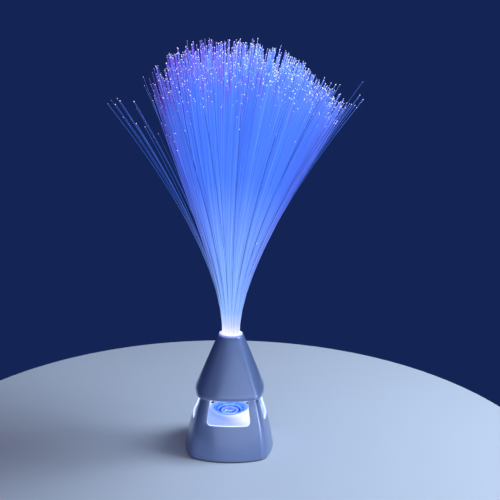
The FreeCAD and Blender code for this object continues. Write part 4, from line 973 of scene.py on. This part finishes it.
def fibre_mesh(name, paths, thickness, values):
    """Carry a small square along each path, square to the path's direction, and cap both ends."""
    side, other = square_axes(np.gradient(paths, axis=1))[1:]
    reach = (thickness / math.sqrt(2))[:, None, None]
    corners = [paths + reach * (side * a + other * b) for a, b in ((1, 0), (0, 1), (-1, 0), (0, -1))]
    index = np.arange(paths[..., 0].size * 4).reshape(*paths.shape[:2], 4)
    after = np.roll(index, -1, axis=2)
    sides = np.stack([index[:, :-1], after[:, :-1], after[:, 1:], index[:, 1:]], axis=-1).reshape(-1, 4)
    caps = np.concatenate([index[:, 0, ::-1], index[:, -1]])
    mesh = fibres_to_mesh(name, np.stack(corners, axis=2), np.concatenate([sides, caps]), values)
    mouth = spray_heights()[1]
    along = np.clip((paths[..., 2] - mouth) / (paths[:, -1:, 2] - mouth), 0, 1)
    add_values(mesh, "along", np.repeat(along.ravel(), 4))
    return mesh


def tip_mesh(name, paths, radius, values):
    """Put an eight-sided bead on the end of each path, half as long again as it is wide."""
    size = radius[:, None]
    ahead, side, other = (axis * size for axis in square_axes(paths[:, -1] - paths[:, -2]))
    end = paths[:, -1]
    points = np.stack([end + side, end + other, end - side, end - other, end + ahead * 1.5, end - ahead * 1.5],
                      axis=1)
    round_it = np.arange(4)
    after = np.roll(round_it, -1)
    corners = np.concatenate([stack(round_it, after, 4), stack(after, round_it, 5)])
    faces = (np.arange(len(paths)) * 6)[:, None, None] + corners
    return fibres_to_mesh(name, points, faces.reshape(-1, 3), values)


def fade(value, start, end):
    """Go evenly from 0 where the value is start to 1 where it is end, and stay there beyond."""
    return np.clip((value - start) / (end - start), 0, 1)


FURROWS = 26
TUFT_GRID = (FURROWS + 1, FURROWS + 1)
SHORTFALL = 26 * MM


def furrows(rng, place):
    """Lay furrows between tufts, across one direction, from 130 mm before the axis to about as far beyond it.

    Give how deep each fibre at a place stands in a furrow, and the number of the tuft that it belongs to.
    """
    middles = np.cumsum(rng.uniform(5.0, 15.0, FURROWS)) * MM - 130 * MM
    half_widths = rng.uniform(0.9, 1.9, FURROWS) * MM
    depths = rng.uniform(6.0, 17.0, FURROWS) * MM
    inside = np.abs(place[:, None] - middles) < half_widths
    return (inside * depths).max(axis=1), np.searchsorted(middles, place)


def even_fibres(spray, rng, bundle):
    """Lay out the even spray: its law, its tips, what its materials read and how far its fibres go aside.

    Fibres stand in rings and lean in proportion to their ring. Their tips rise in terraces towards the middle,
    cut by furrows into tufts. The outermost on the left end at uneven heights, and those far to the right a
    little lower. Some are longer, more of them on the left, and a few are much shorter. The outer fibres at
    both sides are fainter.
    """
    rings = np.arange(1, spray.rings + 1)
    ring = np.repeat(rings, 6 * rings)
    count = len(ring)
    place = np.arange(count) - 3 * ring * (ring - 1)
    bearing = 2 * math.pi * (place + ring / 2 + rng.uniform(-0.35, 0.35, count)) / (6 * ring)
    amount = np.minimum((ring + rng.uniform(-0.45, 0.45, count)) / spray.rings, 1.0)
    still = np.zeros(count)
    law = [amount * bundle, bearing, amount * spray.lean, still + spray.droop, still]
    level = np.ceil(amount * spray.terraces - 0.5) / spray.terraces
    tip = tip_height(spray, [level * bundle, bearing, level * spray.lean, still + spray.droop, still])
    x, y = fibre_place(spray, law, tip - spray_heights()[1])
    depth_x, tuft_x = furrows(rng, x)
    depth_y, tuft_y = furrows(rng, y)
    tufts = rng.normal(0, 0.5 * MM, TUFT_GRID)
    tip += tufts[tuft_x, tuft_y] - np.maximum(depth_x, 0.8 * depth_y) + rng.normal(0, 0.15 * MM, count)
    left, outer = fade(x, 20 * MM, -70 * MM), fade(amount, 0.80, 0.92)
    tip -= rng.exponential(SHORTFALL, count) * left * outer
    tip -= rng.triangular(0, 8, 10, count) * MM * fade(x, 46 * MM, 76 * MM)
    longer = rng.uniform(0, 1, count) < 0.06 + 0.26 * fade(x, 24 * MM, -6 * MM)
    tip += longer * rng.uniform(1.5, 5.5, count) * MM
    shorter = rng.uniform(0, 1, count) < 0.06
    tip -= shorter * rng.exponential(SHORTFALL, count)
    draw = rng.uniform(0, 1, count)
    sideways = np.cos(bearing)
    tuft_tints = rng.uniform(0, 1, TUFT_GRID)
    values = {"tint": 0.35 * tuft_tints[tuft_x, tuft_y] + 0.65 * rng.uniform(0, 1, count),
              "violet": np.clip(longer * 0.9 + left * (draw < 0.55) + 0.25 * (draw > 0.93), 0, 1),
              "edge": fade(amount, 0.86, 0.96) * sideways ** 6,
              "faint": fade(amount, 0.55, 1.0) * (0.52 - 0.25 * sideways) * sideways ** 2}
    return law, tip, values, rng.normal(0, 1, (count, 2)) * (0.5 * MM + 2.4 * MM * outer)[:, None]


def stray_fibres(spray, rng, bundle):
    """Lay out the strays, in threes round the bundle's edge, and give the same four things as even_fibres.

    The first of each three takes one of a few leans in turn, between the even spray's and the widest, and
    leans a little less on the right. The other two lean at random and end above or below the spray's dome.
    """
    place = np.repeat(np.arange(spray.stray_places), 3)
    count = len(place)
    other = np.arange(count) % 3 > 0
    bearing = 2 * math.pi * place / spray.stray_places
    kind = spray.stray_kinds - np.minimum(place, spray.stray_places - place) % spray.stray_kinds
    widest = blend(spray.stray_least, 1, (1 - np.cos(bearing)) / 2)
    amount = np.where(other, rng.uniform(0.20, 0.97, count), widest * kind / spray.stray_kinds)
    law = [np.full(count, bundle), bearing, blend(spray.lean, spray.stray_lean, amount),
           spray.droop * (1 - amount), spray.stray_droop * amount]
    tip = tip_height(spray, law) + other * rng.uniform(-32, 20, count) * MM
    draw = rng.uniform(0, 1, count)
    values = {"tint": draw, "violet": 0.4 * (draw < 0.3), "edge": np.zeros(count), "faint": np.ones(count)}
    return law, tip, values, np.zeros((count, 2))


# ---- operators ----

class LAMP_OT_base(bpy.types.Operator):
    """Build the base casing with its four windows"""
    bl_idname = "lamp.base"
    bl_label = "Base casing"

    def execute(self, context):
        scene = context.scene
        make_piece("base_casing", base_sheets(scene.lamp_shape), silver_plastic(scene.lamp_finish), "base",
                   ["base_shell"])
        return {"FINISHED"}


class LAMP_OT_hood(bpy.types.Operator):
    """Build the hood"""
    bl_idname = "lamp.hood"
    bl_label = "Hood"

    def execute(self, context):
        scene = context.scene
        make_piece("hood_casing", hood_sheets(scene.lamp_shape), bpy.data.materials["casing_silver"], "base",
                   ["hood_shell"])
        return {"FINISHED"}


class LAMP_OT_tray(bpy.types.Operator):
    """Build the lit tray"""
    bl_idname = "lamp.tray"
    bl_label = "Tray"

    def execute(self, context):
        scene = context.scene
        make_piece("lit_tray", tray_sheets(scene.lamp_shape), tray_plastic(scene.lamp_finish), "base",
                   ["reflector_tray"])
        return {"FINISHED"}


class LAMP_OT_lens(bpy.types.Operator):
    """Build the ringed crystal lens"""
    bl_idname = "lamp.lens"
    bl_label = "Lens"

    def execute(self, context):
        scene = context.scene
        profile = lens_rows(scene.lamp_shape)
        sheets = [(turned_profile(profile, columns=96), True, lens_glow(profile))]
        make_piece("ringed_lens", sheets, crystal(scene.lamp_finish), "base", ["crystal_lens"],
                   sharp=28)
        return {"FINISHED"}


class LAMP_OT_collar(bpy.types.Operator):
    """Build the glowing collar round the bundle"""
    bl_idname = "lamp.collar"
    bl_label = "Collar"

    def execute(self, context):
        scene = context.scene
        sheets = [(turned_profile(collar_rows(scene.lamp_shape), columns=72), True, 1.0)]
        make_piece("bundle_collar", sheets, milky_plastic(scene.lamp_finish), "base", ["bundle_ferrule"],
                   sharp=60)
        return {"FINISHED"}


class LAMP_OT_spray(bpy.types.Operator):
    """Build the spray of fibres, its strays and their bright tips"""
    bl_idname = "lamp.spray"
    bl_label = "Spray"

    def execute(self, context):
        spray = context.scene.lamp_spray
        finish = context.scene.lamp_finish
        rng = np.random.default_rng(spray.seed)
        bundle = collar_radii(context.scene.lamp_shape)[2] - spray.thickness
        fibre, bead = lit_fibre(finish), lit_tip(finish)
        for name, lay_out, nodes, part in (("fibre_spray", even_fibres, ["fibre_strands"], 1.0),
                                           ("stray_fibres", stray_fibres, [], 0.8)):
            law, tip, values, aside = lay_out(spray, rng, bundle)
            paths = fibre_paths(spray, law, tip, aside)
            thickness = spray.thickness * part * rng.uniform(0.75, 1.35, len(paths))
            place_piece(name, fibre_mesh(name, paths, thickness, values), fibre, "base", nodes)
            radius = spray.tip_radius * rng.uniform(0.7, 1.2, len(paths))
            tips = name + "_tips"
            place_piece(tips, tip_mesh(tips, paths, radius, values), bead, "base", [])
        return {"FINISHED"}


class LAMP_OT_parts(bpy.types.Operator):
    """Give every part that keeps its own shape its finish"""
    bl_idname = "lamp.parts"
    bl_label = "Small parts"

    def execute(self, context):
        finish = context.scene.lamp_finish
        shared = {"white_plastic": "tray_plastic", "clear_plastic": "crystal", "milky_plastic": "collar_glow",
                  "silver_plastic": "casing_silver", "strand": "lit_fibre"}
        made = {slot: bpy.data.materials[name] for slot, name in shared.items()}
        made |= {
            "grey_plastic": moulded_plastic("grey_plastic", finish.dark_plastic),
            "black_plastic": moulded_plastic("black_plastic", (0.018, 0.018, 0.021), 0.42),
            "rubber": soft_rubber("rubber", (0.022, 0.022, 0.025)),
            "steel": plated_steel("steel", (0.60, 0.60, 0.63)),
            "dark_steel": plated_steel("dark_steel", (0.035, 0.035, 0.05)),
            "cell": cell_sleeve(),
            "board": board_mask(),
            "led_red": led_dome("led_red", (1.0, 0.12, 0.10)),
            "led_green": led_dome("led_green", (0.12, 0.9, 0.25)),
            "led_blue": led_dome("led_blue", (0.08, 0.2, 1.0)),
            "lead_red": soft_rubber("lead_red", (0.42, 0.02, 0.02)),
            "lead_black": soft_rubber("lead_black", (0.02, 0.02, 0.02)),
        }
        for row in frame["record"]["subparts"]:
            node = frame["nodes"][row["node"]]
            node.data.materials.clear()
            node.data.materials.append(made[row["material_slot"]])
        return {"FINISHED"}


class LAMP_OT_stage(bpy.types.Operator):
    """Set out the floor, the soft lights and the camera"""
    bl_idname = "lamp.stage"
    bl_label = "Stage"

    def execute(self, context):
        scene = context.scene
        stage = scene.lamp_stage
        build_floor(stage)
        build_lights(scene, stage)
        build_camera(scene)
        return {"FINISHED"}


# ---- stage ----

def build_floor(stage):
    """Lay a plain pale round floor with a rounded edge."""
    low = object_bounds()[0].z
    edge = 6 * MM
    under = low - 3 * edge
    profile = soft_profile([(0, low), (stage.floor_radius, low), (stage.floor_radius, under), (0, under)],
                           edge, steps=6)
    mesh = bpy.data.meshes.new("floor")
    grid = turned_profile(profile, columns=160)
    fill_mesh(mesh, grid.reshape(-1, 3), grid_quads(grid, True)[:, ::-1])
    mesh.shade_smooth()
    recipe = Recipe("floor", Roughness=0.55)
    recipe.feed("Base Color", stage.floor)
    mesh.materials.append(recipe.material)
    floor = bpy.data.objects.new("floor", mesh)
    bpy.context.scene.collection.objects.link(floor)
    floor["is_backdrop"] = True


AIM = Vector((0, 0, 70 * MM))


def soft_light(scene, name, place, width, height, watts, shade):
    """Hang a soft rectangular light that faces the lamp's casings."""
    light = bpy.data.lights.new(name, "AREA")
    light.shape = "RECTANGLE"
    light.size = width
    light.size_y = height
    light.energy = watts
    light.color = shade
    lamp = bpy.data.objects.new(name, light)
    lamp.location = place
    lamp.rotation_euler = (AIM - Vector(place)).to_track_quat("-Z", "Y").to_euler()
    lamp.visible_camera = False
    scene.collection.objects.link(lamp)


def build_lights(scene, stage):
    """Light the lamp softly from the front, the right, behind and above, and let its own light out."""
    world = bpy.data.worlds.new("room")
    world.use_nodes = True
    world.node_tree.nodes["Background"].inputs["Color"].default_value = (*stage.surroundings, 1.0)
    scene.world = world
    soft_light(scene, "key_light", (0.34, -1.05, 0.22), 1.70, 0.74, stage.key, (0.90, 0.95, 1.0))
    soft_light(scene, "strip_light", (0.74, -0.27, 0.11), 0.030, 0.40, stage.strip, (0.97, 0.98, 1.0))
    soft_light(scene, "side_light", (0.52, 0.06, 0.80), 0.40, 0.40, stage.side, (0.66, 0.83, 1.0))
    soft_light(scene, "fill_light", (-0.45, 0.85, 0.30), 0.35, 0.50, stage.fill, (0.50, 0.65, 1.0))
    soft_light(scene, "top_light", (0.0, -0.10, 1.25), 0.9, 0.9, stage.top, (0.97, 0.98, 1.0))
    inner = bpy.data.lights.new("inner_light", "POINT")
    inner.energy = stage.inner
    inner.color = (0.22, 0.38, 1.0)
    inner.shadow_soft_size = 6 * MM
    glow = bpy.data.objects.new("inner_light", inner)
    glow.location = (0, 0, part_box("crystal_lens")[1].z + 9 * MM)
    scene.collection.objects.link(glow)


def build_camera(scene):
    """Stand the camera in front of the lamp, a little to its right and above it."""
    azimuth, pitch, roll = math.radians(1.8), math.radians(11.0), math.radians(1.05)
    distance, height, aside = 0.6014, 0.298, math.radians(1.506)
    place = Vector((distance * math.sin(azimuth), -distance * math.cos(azimuth), height))
    heading = azimuth - aside
    level = Vector((-math.sin(heading), math.cos(heading), 0))
    ahead = level * math.cos(pitch) - Vector((0, 0, 1)) * math.sin(pitch)
    right = ahead.cross(Vector((0, 0, 1))).normalized()
    up = right.cross(ahead)
    side = right * math.cos(roll) + up * math.sin(roll)
    top = up * math.cos(roll) - right * math.sin(roll)
    data = bpy.data.cameras.new("camera")
    data.sensor_width = 36.0
    data.lens = 50.4
    data.clip_start = 0.01
    camera = bpy.data.objects.new("camera", data)
    turn = Matrix((side, top, -ahead)).transposed()
    camera.matrix_world = Matrix.Translation(place) @ turn.to_4x4()
    scene.collection.objects.link(camera)
    scene.camera = camera


# ---- the add-on ----

class LAMP_PT_build(bpy.types.Panel):
    """Lists the lamp's settings and the steps that build it"""
    bl_label = "Fibre Optic Lamp"
    bl_idname = "LAMP_PT_build"
    bl_space_type = "VIEW_3D"
    bl_region_type = "UI"
    bl_category = "Lamp"

    def draw(self, context):
        for group in GROUPS:
            box = self.layout.box()
            settings = getattr(context.scene, group)
            for name in settings.__annotations__:
                box.prop(settings, name)
        for step in STEPS_IN_ORDER:
            self.layout.operator(step.bl_idname)


GROUPS = {"lamp_shape": LampShape, "lamp_spray": LampSpray, "lamp_finish": LampFinish, "lamp_stage": LampStage}
STEPS_IN_ORDER = [LAMP_OT_base, LAMP_OT_hood, LAMP_OT_tray, LAMP_OT_lens, LAMP_OT_collar, LAMP_OT_spray,
                  LAMP_OT_parts, LAMP_OT_stage]


def register():
    """Add the settings, the steps and the panel."""
    for group in [*GROUPS.values(), *STEPS_IN_ORDER, LAMP_PT_build]:
        bpy.utils.register_class(group)
    for name, group in GROUPS.items():
        setattr(bpy.types.Scene, name, bpy.props.PointerProperty(type=group))


def unregister():
    """Take them away again."""
    for name in GROUPS:
        delattr(bpy.types.Scene, name)
    for group in [LAMP_PT_build, *STEPS_IN_ORDER[::-1], *GROUPS.values()]:
        bpy.utils.unregister_class(group)


def main():
    """Build the lamp and its stage."""
    register()
    for step in STEPS_IN_ORDER:
        family, name = step.bl_idname.split(".")
        getattr(getattr(bpy.ops, family), name)()
    bpy.context.scene.view_settings.view_transform = "Standard"


if __name__ == "__main__":
    main()
